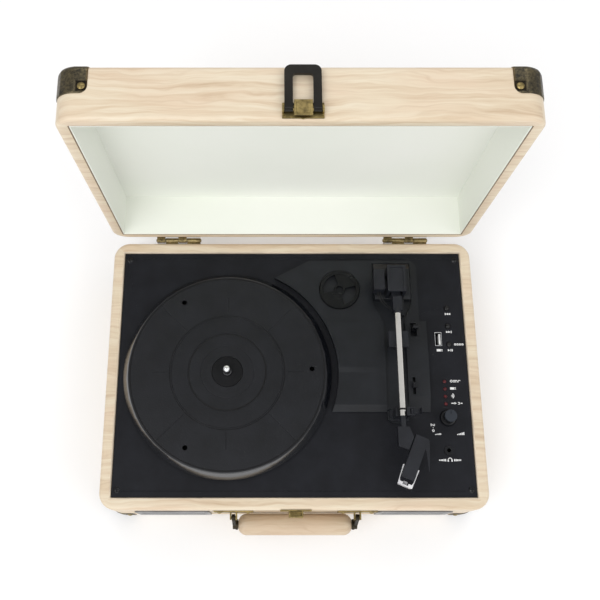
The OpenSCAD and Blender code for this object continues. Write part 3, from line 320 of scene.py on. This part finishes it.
def cap_bronze_shaded_well():
    """Antiqued stamped bronze, made nearly black in the well round the rivet by painted shade. UV is in
    metres on a tab.
    """
    s = Surface("cap_bronze_shaded_well", (0.16, 0.135, 0.09), 0.34, 1.0)
    place = s.coords()
    u, v, _ = s.split(s.coords(kind="UV"))
    du = s.math("ABSOLUTE", s.math("SUBTRACT", u, RIVET_IN * MM))
    dv = s.math("ABSOLUTE", s.math("SUBTRACT", v, RIVET_DOWN * MM))
    # Painted shade: a mask of the recessed well round each rivet, darkened as if by its shadow
    well = s.ramp(s.math("MULTIPLY", s.math("MAXIMUM", du, dv), 100.0), [(0.36, 1.0), (0.46, 0.0)])
    edge = s.ramp(s.math("MULTIPLY", s.math("MAXIMUM", u, v), 10.0), [(0.226, 0.0), (0.24, 1.0)])
    patina = s.noise(place, 520.0, 5.0, 0.7)
    broad = s.noise(place, 90.0, 3.0)
    wear = s.ramp(s.math("MULTIPLY_ADD", broad, 0.4, s.math("MULTIPLY", patina, 0.6)),
                  [(0.4, 0.0), (0.62, 1.0)])
    tint = s.mix(wear, (0.04, 0.037, 0.031), (0.16, 0.132, 0.078))
    tint = s.mix(s.math("MULTIPLY", edge, 0.55), tint, (0.26, 0.17, 0.07))
    # painted shade: the well goes nearly black
    s.color(s.mix(s.math("MULTIPLY", well, 0.88), tint, (0.012, 0.01, 0.008)))
    s.rough(s.math("MULTIPLY_ADD", wear, -0.1, 0.44))
    s.normal(s.bump(patina, 0.3, 0.00015))
    return s.mat


def knob_with_painted_light_top():
    """Glossy black skirt under a satin cap whose top is painted a paler blue-grey, as painted light where the
    lamps fall on it.
    """
    s = Surface("knob_black", (0.0048, 0.0053, 0.007), 0.3, Specular_IOR_Level=0.3)
    place = s.coords()
    height = s.split(place)[2]
    step = KNOB_CAP_LOW * MM * 10
    # Painted light: above this height the cap is coloured paler, standing in for the light on the knob's top
    cap = s.ramp(s.math("MULTIPLY", height, 10.0), [(step - 0.004, 0.0), (step, 1.0)])
    scuff = s.noise(place, 320.0, 5.0, 0.7)
    # painted light: the paler blue-grey of the lit top face
    s.color(s.mix(cap, (0.0044, 0.0048, 0.0062), (0.021, 0.0255, 0.034)))
    s.rough(s.math("MULTIPLY_ADD", scuff, 0.14, s.math("MULTIPLY_ADD", cap, 0.16, 0.16)))
    s.normal(s.bump(s.cells(place, 1800.0), 0.12, 0.00006))
    return s.mat


def speaker_weave():
    """Open black grille cloth: two sets of threads crossing."""
    s = Surface("speaker_cloth", (0.02, 0.02, 0.022), 0.85)
    x, _, z = s.split(s.coords())
    over, under = (s.math("ABSOLUTE", s.math("SINE", s.math("MULTIPLY", way, 2600.0))) for way in (x, z))
    thread = s.math("MAXIMUM", over, under)
    s.color(s.mix(s.ramp(thread, [(0.55, 0.0), (0.95, 1.0)]), (0.004, 0.004, 0.004), (0.035, 0.035, 0.038)))
    s.normal(s.bump(thread, 0.6, 0.0003))
    return s.mat


def printed(name, color):
    """Silk-screened ink, slightly uneven at its edges."""
    s = Surface(name, color, 0.6)
    patch = s.noise(s.coords(), 2600.0, 2.0)
    s.color(s.mix(s.ramp(patch, [(0.3, 0.0), (0.6, 1.0)]), tuple(c * 0.72 for c in color), color))
    return s.mat


WOOD = wood_wrap("wood_wrap", "UV", (0.93, 0.965, 0.98))
WOOD_GRIP = wood_wrap("wood_wrap_grip", "Object", (0.78, 0.76, 0.73))
CREAM = moulded("wrap_edge", (0.62, 0.52, 0.4), 0.5, 0.15, 900.0, 0.0001)
SEAM = moulded("seam_brown", (0.2, 0.14, 0.09), 0.7, 0.2, 900.0, 0.0001)
LINING = lining_cloth()

DECK_BLACK = moulded("deck_black", (0.0048, 0.0054, 0.0084), 0.5, 0.5, 1500.0, 0.0001,
                     Specular_IOR_Level=0.2)
COVER_BLACK = moulded("cover_black", (0.0056, 0.0068, 0.0094), 0.4, 0.3, 1300.0, 0.0001,
                      Specular_IOR_Level=0.3)
PLATTER_BLACK = platter_plastic()
HUB_BLACK = moulded("hub_black", (0.003, 0.0032, 0.0042), 0.4, 0.4, 900.0, 0.0001,
                    Specular_IOR_Level=0.2)
KEY_BLACK = moulded("key_black", (0.003, 0.003, 0.0036), 0.34, 0.1, 1800.0, 0.00005,
                    Specular_IOR_Level=0.35)
KNOB_BLACK_PAINTED_TOP = knob_with_painted_light_top()
GLOSS_BLACK = moulded("gloss_black", (0.0048, 0.0053, 0.007), 0.2, 0.1, 1800.0, 0.00006, 0.1,
                      Specular_IOR_Level=0.3)
SATIN_BLACK = moulded("satin_black", (0.0085, 0.0095, 0.0135), 0.42, 0.22, 1600.0, 0.00008,
                      Specular_IOR_Level=0.32)
ADAPTER_BLACK = moulded("adapter_black", (0.0034, 0.0038, 0.0046), 0.22, 0.1, 1800.0, 0.00006, 0.1,
                        Specular_IOR_Level=0.22)
RUBBER = moulded("rubber", (0.008, 0.008, 0.008), 0.7, 0.3, 1200.0, 0.0001, Specular_IOR_Level=0.3)
LATCH_BLACK = moulded("latch_black", (0.0115, 0.01, 0.0075), 0.2, 0.25, 700.0, 0.0001, 0.16,
                      Specular_IOR_Level=0.22)
# Near-black of the socket's inner sleeve, which is painted shade
USB_SHADE_BLACK = moulded("usb_shade_sleeve", (0.004, 0.004, 0.004), 0.5, 0.1, 1500.0, 0.00005,
                    Specular_IOR_Level=0.2)
WHITE = moulded("white_plastic", (0.78, 0.78, 0.76), 0.4, 0.1, 1500.0, 0.00006)
GUARD = moulded("guard_white", (0.8, 0.78, 0.84), 0.22, 0.08, 1500.0, 0.00005, 0.08,
                Transmission_Weight=0.25)
RED = clear_red()
BOARD = moulded("board_green", (0.03, 0.16, 0.06), 0.4, 0.1)
CONE = moulded("cone_paper", (0.02, 0.02, 0.02), 0.8, 0.5, 700.0, 0.0003)
GRILLE = moulded("grille_grey", (0.2, 0.2, 0.205), 0.38, 0.2, 1600.0, 0.00008, Metallic=0.5)
SPEAKER_CLOTH = speaker_weave()
INK = printed("white_ink", (0.86, 0.86, 0.86))

CAP_BRONZE_SHADED_WELL = cap_bronze_shaded_well()
BRONZE = aged_metal("dark_bronze", (0.2, 0.17, 0.11), (0.04, 0.035, 0.026), 0.34, 0.85, 420.0)
BRASS = aged_metal("antique_brass", (0.4, 0.305, 0.124), (0.064, 0.05, 0.024), 0.26, 0.85, 340.0)
HINGE_BRASS = aged_metal("hinge_brass", (0.36, 0.28, 0.13), (0.035, 0.027, 0.015), 0.28, 0.9, 420.0)
END_BLACK = aged_metal("end_black", (0.06, 0.05, 0.035), (0.015, 0.013, 0.011), 0.32, 0.85, 420.0)
STEEL = brushed("steel", (0.56, 0.57, 0.58), 0.3, (300, 300, 300))
CHROME = brushed("chrome", (0.82, 0.83, 0.85), 0.1, (500, 500, 60), 0.06)
TUBE = brushed("tube_alloy", (0.84, 0.82, 0.78), 0.1, (900, 30, 900), 0.08)
SPINDLE = spindle_chrome()

LOOK_OF = (
    (WOOD, "base_case lid_shell"),
    (LINING, "lid_lining"),
    (RUBBER, "rubber_feet drive_belt arm_leads arm_ring"),
    (DECK_BLACK, "deck_plate"),
    (GLOSS_BLACK, "deck_screws headphone_jack dc_inlet line_in_jack cartridge cue_lever speed_lever"),
    (COVER_BLACK, "mech_cover arm_pedestal"),
    (STEEL, "drive_plate motor volume_pot"),
    (SPINDLE, "spindle"),
    (SATIN_BLACK, "arm_rest arm_yoke arm_neck headshell arm_clip cue_platform"),
    (CHROME, "usb_shell"),
    (WHITE, "usb_tongue"),
    (RED, "status_leds stylus"),
    (BOARD, "control_board"),
    (BRONZE, "base_corner_caps lid_corner_caps"),
    (BRASS, "base_cap_rivets lid_cap_rivets hinge_base_screws hinge_lid_screws latch_keeper"
            " handle_plates latch_plate latch_link motor_pulley"),
    (HINGE_BRASS, "hinge_base_leaves hinge_lid_leaves hinge_pins"),
    (GRILLE, "speaker_grilles"),
    (CONE, "speaker_drivers"),
    (LATCH_BLACK, "latch_lever"),
    (PLATTER_BLACK, "platter"),
    (HUB_BLACK, "platter_hub"),
    (TUBE, "arm_tube"),
    (GUARD, "stylus_guard"),
    (KNOB_BLACK_PAINTED_TOP, "volume_knob"),
    (KEY_BLACK, "button_prev button_next button_play"),
    (ADAPTER_BLACK, "adapter_45"),
    (WOOD_GRIP, "handle_grip"),
    (END_BLACK, "handle_ends"),
)
LOOK = {name: material for material, names in LOOK_OF for name in names.split()}

# Edge rounding of the moulded and pressed nodes, in millimetres
SOFTEN_BY = (
    (0.15, "usb_shell platter"),
    (0.2, "hinge_base_leaves hinge_lid_leaves volume_knob platter_hub usb_tongue"),
    (0.25, "stylus_guard latch_plate"),
    (0.3, "deck_plate handle_plates lid_corner_caps base_corner_caps adapter_45 headphone_jack dc_inlet"
          " line_in_jack"),
    (0.35, "arm_clip latch_link speaker_grilles"),
    (0.4, "cartridge cue_lever speed_lever latch_keeper handle_ends"),
    (0.5, "arm_rest"),
    (0.6, "headshell latch_lever rubber_feet"),
    (0.7, "mech_cover"),
    (0.8, "arm_yoke arm_neck cue_platform"),
    (0.9, "arm_pedestal"),
)
SOFTEN = {name: width for width, names in SOFTEN_BY for name in names.split()}


def soften(obj, width_mm):
    """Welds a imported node's faces, rounds its edges and keeps its broad faces flat in shading."""
    if "custom_normal" in obj.data.attributes:
        obj.data.attributes.remove(obj.data.attributes["custom_normal"])
    weld = obj.modifiers.new("weld", "WELD")
    weld.merge_threshold = 1e-6
    bevel = obj.modifiers.new("round", "BEVEL")
    bevel.width = width_mm * MM
    bevel.segments = 2
    bevel.limit_method = "ANGLE"
    bevel.angle_limit = math.radians(28)
    bevel.use_clamp_overlap = True
    flat = obj.modifiers.new("flat", "WEIGHTED_NORMAL")
    flat.keep_sharp = True
    flat.weight = 100


for name, obj in NODES.items():
    obj.data.materials.clear()
    obj.data.materials.append(LOOK[name])
    for face in obj.data.polygons:
        face.use_smooth = True
    if name in SOFTEN:
        soften(obj, SOFTEN[name])


# ---------------------------------------------------------------- mesh helpers
def add_piece(name, mesh, materials, body):
    """An object of the mesh, riding on a body."""
    for material in materials:
        mesh.materials.append(material)
    obj = bpy.data.objects.new(name, mesh)
    bpy.context.scene.collection.objects.link(obj)
    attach(obj, body)
    return obj


def small_piece(name, verts, faces, material, body, smooth=True):
    """A piece from vertices in millimetres."""
    mesh = bpy.data.meshes.new(name)
    mesh.from_pydata([Vector(v) * MM for v in verts], [], faces)
    mesh.validate()
    for face in mesh.polygons:
        face.use_smooth = smooth
    return add_piece(name, mesh, [material], body)


def ring_points(half_w, half_d, radius, count):
    """A rounded rectangle with count steps in each corner, from the front right corner on."""
    points = []
    for cx, cy, start in ((1, -1, -90), (1, 1, 0), (-1, 1, 90), (-1, -1, 180)):
        for i in range(count + 1):
            a = math.radians(start + 90 * i / count)
            points.append((cx * (half_w - radius) + radius * math.cos(a),
                           cy * (half_d - radius) + radius * math.sin(a)))
    return points


# Where the wrap's grain starts on each side, in millimetres, so that no two sides repeat
GRAIN_START = {"front": 0, "back": 900, "right": 400, "left": 700}


def shell(name, stations, materials, body, matrix, bands):
    """A box lofted through rounded rectangles. Each station is (inset, height, corner radius).
    The wrap's grain runs across the rims and up the sides, and along the front, back and top.
    bands gives the material's number between one station and the next, where it isn't the first."""
    corner_steps = 10
    verts, faces, length, run = [], [], [], 0.0
    rings = []
    previous = None
    for inset, height, radius in stations:
        if previous:
            run += math.hypot(inset - previous[0], height - previous[1])
        previous = (inset, height)
        points = ring_points(CASE_W / 2 - inset, CASE_D / 2 - inset, max(radius, 0.3), corner_steps)
        rings.append(range(len(verts), len(verts) + len(points)))
        verts += [(x, y + CY, height) for x, y in points]
        length += [run] * len(points)
    total = len(rings[0])
    side_of, band_of = [], []
    for k, (a, b) in enumerate(zip(rings, rings[1:])):
        for i in range(total):
            faces.append((a[i], a[(i + 1) % total], b[(i + 1) % total], b[i]))
            side_of.append(i)
            band_of.append(bands.get(k, 0))
    faces.append(tuple(reversed(rings[0])))
    faces.append(tuple(rings[-1]))
    side_of += [-1, -1]
    band_of += [0, 0]
    mesh = bpy.data.meshes.new(name)
    mesh.from_pydata([Vector(v) * MM for v in verts], [], faces)
    layer = mesh.uv_layers.new(name="UVMap")
    for face, side, band in zip(mesh.polygons, side_of, band_of):
        face.use_smooth = True
        face.material_index = band
        corner, step = divmod(side, corner_steps + 1)
        first_half = step < corner_steps // 2
        # Corners 0 and 2 end on a side wall, and corners 1 and 3 start on one
        on_side_wall = side >= 0 and (corner % 2 == 1) == first_half
        for loop in face.loop_indices:
            v = mesh.loops[loop].vertex_index
            x, y, _ = verts[v]
            if side < 0:
                place = (x, y)
            elif on_side_wall:
                place = (length[v] + GRAIN_START["left" if x < 0 else "right"], y)
            else:
                place = (x, length[v] + GRAIN_START["back" if y > CY else "front"])
            layer.data[loop].uv = (place[0] * MM, place[1] * MM)
    mesh.transform(Matrix.Scale(MM, 4) @ matrix @ Matrix.Scale(1 / MM, 4))
    return add_piece(name, mesh, materials, body)


def arc(inset, height, radius, start, end):
    """Stations of a rounded edge: a quarter circle about (inset, height), angles from straight out."""
    steps = 6
    out = []
    for i in range(steps + 1):
        a = math.radians(start + (end - start) * i / steps)
        di = inset - radius * math.cos(a)
        out.append((di, height + radius * math.sin(a), max(CORNER - di, 0.4)))
    return out


# ---------------------------------------------------------------- the case and the lid
EDGE = 4.0              # rounding of the outer edges
RIM_EDGE = 3.2          # and of the rims where lid and base meet
FLOOR_T, LID_T = 5, 3.2
CUT = {1: 1, 2: 1}      # the band between an inner wall and a rim shows the board's cut edge
RIM_TO_EDGE = (RIM_EDGE + 0.2, CORNER - RIM_EDGE - 0.2)

# Both run up the inside, over the rim, along the outside and on to the broad face
base_wrap = shell("base_wrap",
                  [(WALL, BASE_LOW + FLOOR_T, 0.4), (WALL, RIM - 1.2, 0.4), (WALL - 0.3, RIM - 0.3, 0.7),
                   (WALL - 1.1, RIM, 1.1), (WALL - 2.8, RIM, 2.8), (RIM_TO_EDGE[0], RIM, RIM_TO_EDGE[1])]
                  + arc(RIM_EDGE, RIM - RIM_EDGE, RIM_EDGE, 90, 0)
                  + arc(EDGE, BASE_LOW + EDGE, EDGE, 0, -90)
                  + [(9, BASE_LOW, 8)],
                  [WOOD, CREAM], "base", Matrix.Identity(4), CUT)
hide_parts("base_case")

lid_low = RIM + 0.3
lid_top = RIM + LID_H
lid_wrap = shell("lid_wrap",
                 [(WALL, lid_top - LID_T, 0.4), (WALL, lid_low + 1.2, 0.4), (WALL - 0.25, lid_low + 0.4, 0.6),
                  (WALL - 1.1, lid_low, 1.1), (RIM_TO_EDGE[0], lid_low, RIM_TO_EDGE[1])]
                 + arc(RIM_EDGE, lid_low + RIM_EDGE, RIM_EDGE, -90, 0)
                 + arc(EDGE, lid_top - EDGE, EDGE, 0, 90)
                 + [(9, lid_top, 8)],
                 [WOOD, SEAM], "lid", SHUT_TO_OPEN, CUT)
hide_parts("lid_shell")


def drill(obj, holes):
    """Cuts round holes along Y: each is (x, z, y from, y to, radius), in millimetres."""
    for x, z, y0, y1, radius in holes:
        mesh = bpy.data.meshes.new("cutter")
        work = bmesh.new()
        bmesh.ops.create_cone(work, cap_ends=True, segments=48, radius1=radius * MM, radius2=radius * MM,
                              depth=(y1 - y0) * MM)
        work.to_mesh(mesh)
        work.free()
        cutter = bpy.data.objects.new("cutter", mesh)
        bpy.context.scene.collection.objects.link(cutter)
        cutter.rotation_euler = (math.radians(90), 0, 0)
        cutter.location = (x * MM, (y0 + y1) / 2 * MM, z * MM)
        cut = obj.modifiers.new("drill", "BOOLEAN")
        cut.operation, cut.solver, cut.object = "DIFFERENCE", "EXACT", cutter
        bpy.context.view_layer.update()
        graph = bpy.context.evaluated_depsgraph_get()
        done = bpy.data.meshes.new_from_object(obj.evaluated_get(graph), depsgraph=graph)
        obj.modifiers.clear()
        obj.data = done
        bpy.data.objects.remove(cutter)


SPEAKER_R, SOCKET_R = 21.0, 5.05
GRILLE_HALF_W = 34
FRONT, BACK = CY - CASE_D / 2, CY + CASE_D / 2
speaker_z = centre("speaker_grilles").z
speaker_x = high("speaker_grilles").x - GRILLE_HALF_W
sockets = [centre("dc_inlet"), centre("line_in_jack")]
drill(base_wrap, [(x, speaker_z, FRONT - 2, FRONT + WALL + 1, SPEAKER_R) for x in (-speaker_x, speaker_x)]
      + [(socket.x, socket.z, BACK - WALL - 1, BACK + 2, SOCKET_R) for socket in sockets])


# ---------------------------------------------------------------- corner caps
def cap_surface(p, lift):
    """The wrap's rounded surface nearest to a point on the sharp box. The box's corner is the origin
    and its inside lies towards +X, +Y and -Z. The result stands lift proud of the wrap."""
    x, y = max(p[0], EDGE), max(p[1], EDGE)
    if x < CORNER and y < CORNER:
        d = Vector((CORNER - x, CORNER - y))
        reach = CORNER - EDGE
        if d.length > reach:
            d *= reach / d.length
        x, y = CORNER - d.x, CORNER - d.y
    q = Vector((x, y, min(p[2], -EDGE)))
    out = Vector(p) - q
    return q + out.normalized() * (EDGE + lift)


CAP_REACH, CAP_DROP = 24.0, 22.0        # along the edges, and down the corner
CAP_TAB_R = 6.0                         # rounding of each tab's free corner
CAP_STEPS = 26
CAP_PROUD, CAP_HEM = 0.88, 0.02         # the sheet above the wrap, and its turned-down edge
CAP_ROLL = 0.35                         # how much lower the sheet's last row is
WELL_HALF, WELL_SLOPE, WELL_DEEP = 4.9, 0.9, 0.42


def tab_point(a, b, reach, drop):
    """A point on a flat tab with one rounded corner, from a and b between 0 and 1."""
    u, v = a * reach, b * drop
    cu, cv = reach - CAP_TAB_R, drop - CAP_TAB_R
    if u > cu and v > cv:
        du, dv = u - cu, v - cv
        k = max(du, dv) / math.hypot(du, dv) if du or dv else 1
        u, v = cu + du * k, cv + dv * k
    return u, v


def cap_mesh(name, body, box_corner, flips, matrix):
    """A stamped cap: a sheet over the corner's three faces, with a well round each rivet."""
    verts, faces, uvs, index = [], [], [], {}
    last = CAP_STEPS

    def add(kind, i, j, hem):
        """The vertex at step i, j of a tab, or the one below it on the wrap."""
        key = (kind, i, j, hem)
        if key in index:
            return index[key]
        top = kind == "top"
        u, v = tab_point(i / last, j / last, CAP_REACH, CAP_REACH if top else CAP_DROP)
        if top:
            p = (u, v, 0.0)
        else:
            p = (u, 0.0, -v) if kind == "front" else (0.0, u, -v)
        rivet_v = RIVET_IN if top else RIVET_DOWN
        off = max(abs(u - RIVET_IN), abs(v - rivet_v))
        well = min(1.0, max(0.0, (WELL_HALF - off) / WELL_SLOPE))
        inner = min(1.0, min(last - i, last - j) / 1.5)
        height = CAP_HEM if hem else CAP_PROUD - WELL_DEEP * well - CAP_ROLL * (1 - inner)
        index[key] = len(verts)
        verts.append(cap_surface(p, height))
        uvs.append((u * MM, (v + RIVET_DOWN - rivet_v) * MM))
        return index[key]

    for kind in ("top", "front", "side"):
        for i in range(last):
            for j in range(last):
                quad = [add(kind, *at, 0) for at in ((i, j), (i + 1, j), (i + 1, j + 1), (i, j + 1))]
                faces.append(quad[::-1] if kind == "side" else quad)
        for i in range(last):
            for a, b in (((i, last), (i + 1, last)), ((last, i + 1), (last, i))):
                faces.append([add(kind, *a, 0), add(kind, *b, 0), add(kind, *b, 1), add(kind, *a, 1)])
    place = [Vector([at + flip * part for at, flip, part in zip(box_corner, flips, v)]) for v in verts]
    mesh = bpy.data.meshes.new(name)
    mesh.from_pydata([v * MM for v in place], [], faces)
    layer = mesh.uv_layers.new(name="UVMap")
    for loop in mesh.loops:
        layer.data[loop.index].uv = uvs[loop.vertex_index]
    work = bmesh.new()
    work.from_mesh(mesh)
    bmesh.ops.remove_doubles(work, verts=work.verts, dist=2e-5)
    bmesh.ops.recalc_face_normals(work, faces=work.faces)
    work.to_mesh(mesh)
    work.free()
    for face in mesh.polygons:
        face.use_smooth = True
    mesh.transform(Matrix.Scale(MM, 4) @ matrix @ Matrix.Scale(1 / MM, 4))
    return add_piece(name, mesh, [CAP_BRONZE_SHADED_WELL], body)


for body, level, up, matrix, node in (("lid", lid_top, 1, SHUT_TO_OPEN, "lid_corner_caps"),
                                      ("base", BASE_LOW, -1, Matrix.Identity(4), "base_corner_caps")):
    for x, side in ((-1, "left"), (1, "right")):
        for y, end in ((-1, "front"), (1, "back")):
            box_corner = (x * CASE_W / 2, CY + y * CASE_D / 2, level)
            cap = cap_mesh(f"{body}_cap_{side}_{end}", body, box_corner, (-x, -y, up), matrix)
            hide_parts(node)


# ---------------------------------------------------------------- marks, cloth and small fittings
class Marks:
    """Flat printed shapes on the deck, placed in millimetres from the case's centre."""
    INK_H = 0.06

    def __init__(self):
        self.shapes = []

    def poly(self, *points):
        self.shapes.append([(x, y + CY) for x, y in points])

    def bar(self, x, y, w, h):
        self.poly((x - w / 2, y - h / 2), (x + w / 2, y - h / 2), (x + w / 2, y + h / 2),
                  (x - w / 2, y + h / 2))

    def arrow(self, x, y, w, h, way):
        self.poly((x - way * w / 2, y - h / 2), (x + way * w / 2, y), (x - way * w / 2, y + h / 2))

    def ring(self, x, y, radius, thick, start=0, end=360, steps=20):
        def at(reach, angle):
            return x + reach * math.cos(angle), y + reach * math.sin(angle)

        for i in range(steps):
            a, b = (math.radians(start + (end - start) * (i + k) / steps) for k in (0, 1))
            self.poly(at(radius - thick, a), at(radius, a), at(radius, b), at(radius - thick, b))

    def build(self, name):
        verts, faces = [], []
        for shape in self.shapes:
            signed = sum(a[0] * b[1] - b[0] * a[1] for a, b in zip(shape, shape[1:] + shape[:1]))
            shape = shape if signed > 0 else shape[::-1]
            n, start = len(shape), len(verts)
            verts += [(x, y, DECK + 0.01) for x, y in shape] + [(x, y, DECK + self.INK_H) for x, y in shape]
            faces.append([start + n + i for i in range(n)])
            faces.append([start + i for i in reversed(range(n))])
            faces += [[start + i, start + (i + 1) % n, start + n + (i + 1) % n, start + n + i]
                      for i in range(n)]
        return small_piece(name, verts, faces, INK, "base", smooth=False)


def deck_marks():
    """Generic symbols beside the keys, lamps, knob and socket."""
    tall = 2.2
    line_y = 18.7           # the play key's row, which the USB socket's mark shares

    m = Marks()
    for x, y, way in ((148.8, 54.4, -1), (149.4, 36.6, 1)):     # previous, next
        m.arrow(x - way * 1.9, y, 2.1, tall, way)
        m.arrow(x + way * 0.2, y, 2.1, tall, way)
        m.bar(x + way * 1.9, y, 0.8, tall)
    m.arrow(148.0, line_y, 2.1, tall, 1)                        # play and pause
    for x in (149.8, 151.1):
        m.bar(x, line_y, 0.8, tall)
    for i in range(4):                                          # source
        m.ring(154.2 + i * 2.35, 24.4, 1.05, 0.6, steps=10)
    m.build("marks_keys")

    m = Marks()
    for x, y in ((138.9, line_y), (148.9, -17.8)):              # a plug, at the socket and a lamp
        m.bar(x - 0.6, y, 3.8, tall)
        for up in (0.6, -0.6):
            m.bar(x + 2.3, y + up, 1.4, 0.6)
    m.ring(148.0, -10.9, 1.25, 0.6)                             # a record with lines
    for x, y, w in ((151.6, -10.3, 4.0), (155.4, -10.3, 2.2), (151.0, -11.6, 2.8), (154.0, -11.6, 1.8)):
        m.bar(x, y, w, 0.7)
    for k in range(3):                                          # radio waves
        m.ring(146.8, -24.8, 0.8 + k * 1.1, 0.6, -55, 55, 8)
    m.arrow(150.6, -31.7, 2.2, tall, 1)                         # an arrow into a jack
    m.bar(148.2, -31.7, 3.2, 0.9)
    m.ring(153.6, -31.7, 1.2, 0.6, -140, 140)
    m.bar(156.2, -31.7, 1.6, 0.9)
    m.build("marks_sources")

    m = Marks()
    m.bar(126.6, -51.6, 0.8, tall)                              # on, a dot, off
    m.ring(128.9, -51.6, 1.1, 0.6, 120, 420)
    m.bar(128.3, -54.2, 0.5, 0.9)
    m.ring(128.3, -56.9, 1.15, 0.6)
    for k in range(5):                                          # quiet and loud wedges
        m.bar(130.0 + k * 1.2, -60.4 + k * 0.1, 0.8, 0.7 + k * 0.2)
        m.bar(150.4 + k * 1.4, -60.4 + k * 0.2, 1.0, 0.9 + k * 0.4)
    m.build("marks_volume")

    m = Marks()
    socket_x = 141.8
    m.ring(socket_x, -83.3, 2.1, 0.7, 0, 180, 14)               # headphones between tapering bars
    for side in (-1, 1):
        m.bar(socket_x + side * 1.75, -84.0, 1.1, 1.6)
        for k in range(5):
            m.bar(socket_x + side * (4.1 + k * 1.35), -83.5, 0.95, 2.0 - k * 0.2)
    m.build("marks_headphone")


deck_marks()


def speaker_cloth(name, x):
    """A slightly domed panel of grille cloth behind the slots."""
    half_w, half_h, across, down = 31.0, 19.5, 16, 10
    behind, dome = 0.12, 0.5
    verts = []
    for j in range(down + 1):
        for i in range(across + 1):
            a, b = 2 * i / across - 1, 2 * j / down - 1
            y = FRONT - behind - dome * (1 - a * a) * (1 - b * b)
            verts.append((x + a * half_w, y, speaker_z + b * half_h))
    n = across + 1
    faces = [(j * n + i, j * n + i + 1, (j + 1) * n + i + 1, (j + 1) * n + i)
             for j in range(down) for i in range(across)]
    return small_piece(name, verts, faces, SPEAKER_CLOTH, "base")


speaker_cloth("speaker_cloth_left", -speaker_x)
speaker_cloth("speaker_cloth_right", speaker_x)


def usb_shade_sleeve():
    """A black sleeve inside the socket's shell, round its tongue: a dark sheet as painted shade for the
    shadowed inside of the socket.
    """
    lo, hi, wall, lining, floor_t = low("usb_shell"), high("usb_shell"), 0.52, 0.3, 0.3
    top, floor = hi.z - 0.35, max(lo.z + 0.9, low("usb_tongue").z + 0.2)

    def loop(inset, z):
        x0, x1, y0, y1 = lo.x + inset, hi.x - inset, lo.y + inset, hi.y - inset
        return [(x0, y0, z), (x1, y0, z), (x1, y1, z), (x0, y1, z)]

    verts = (loop(wall, floor) + loop(wall, top) + loop(wall + lining, top)
             + loop(wall + lining, floor + floor_t))
    faces = [[4 * k + i, 4 * k + (i + 1) % 4, 4 * k + 4 + (i + 1) % 4, 4 * k + 4 + i]
             for k in range(3) for i in range(4)]
    faces += [[3, 2, 1, 0], [12, 13, 14, 15]]
    return small_piece("usb_shade_sleeve", verts, faces, USB_SHADE_BLACK, "base", smooth=False)


usb_shade_sleeve()


# ---------------------------------------------------------------- floor, light and camera, in metres
def stage_floor():
    half, under = 6, 0.0002
    mesh = bpy.data.meshes.new("floor")
    mesh.from_pydata([(-half, -half, 0), (half, -half, 0), (half, half, 0), (-half, half, 0)],
                     [], [(0, 1, 2, 3)])
    s = Surface("floor_paper", (0.95, 0.95, 0.955), 0.9)
    s.color(s.mix(s.noise(s.coords(), 3.0, 2.0), (0.945, 0.945, 0.95), (0.965, 0.965, 0.97)))
    mesh.materials.append(s.mat)
    obj = bpy.data.objects.new("floor", mesh)
    obj.location.z = -under
    bpy.context.scene.collection.objects.link(obj)


def softbox(name, place, aim, size, power):
    data = bpy.data.lights.new(name, "AREA")
    data.shape = "RECTANGLE"
    data.size, data.size_y = size
    data.energy = power
    obj = bpy.data.objects.new(name, data)
    obj.location = place
    obj.rotation_mode = "QUATERNION"
    obj.rotation_quaternion = (Vector(aim) - Vector(place)).to_track_quat("-Z", "Y")
    bpy.context.scene.collection.objects.link(obj)


stage_floor()
softbox("key", (-0.9, -0.9, 1.9), (0, 0, 0.05), (1.4, 1.4), 19)
softbox("fill", (1.3, -0.6, 1.6), (0, 0, 0.05), (1.6, 1.2), 9)
softbox("front", (0, -2.4, 0.8), (0, 0.1, 0.2), (2.4, 1.0), 11)
softbox("back", (0.2, 1.4, 1.7), (0, 0, 0.1), (1.8, 0.8), 8)
world = bpy.data.worlds.new("studio")
bpy.context.scene.world = world
world.use_nodes = True
glow = world.node_tree.nodes["Background"].inputs
glow["Color"].default_value = (1, 1, 1, 1)
glow["Strength"].default_value = 0.62

cam = bpy.data.cameras.new("camera")
cam.lens, cam.sensor_width = 50.06, 36.0
cam.shift_x, cam.shift_y = 0.0502, -0.0521
cam.clip_start, cam.clip_end = 0.05, 50
camera = bpy.data.objects.new("camera", cam)
camera.location = (-0.0218, -0.1695 + CY * MM, 0.7706 + RIM * MM)
camera.rotation_euler = (math.radians(19.28), 0, 0)
bpy.context.scene.collection.objects.link(camera)
bpy.context.scene.camera = camera
bpy.context.scene.view_settings.view_transform = "Standard"
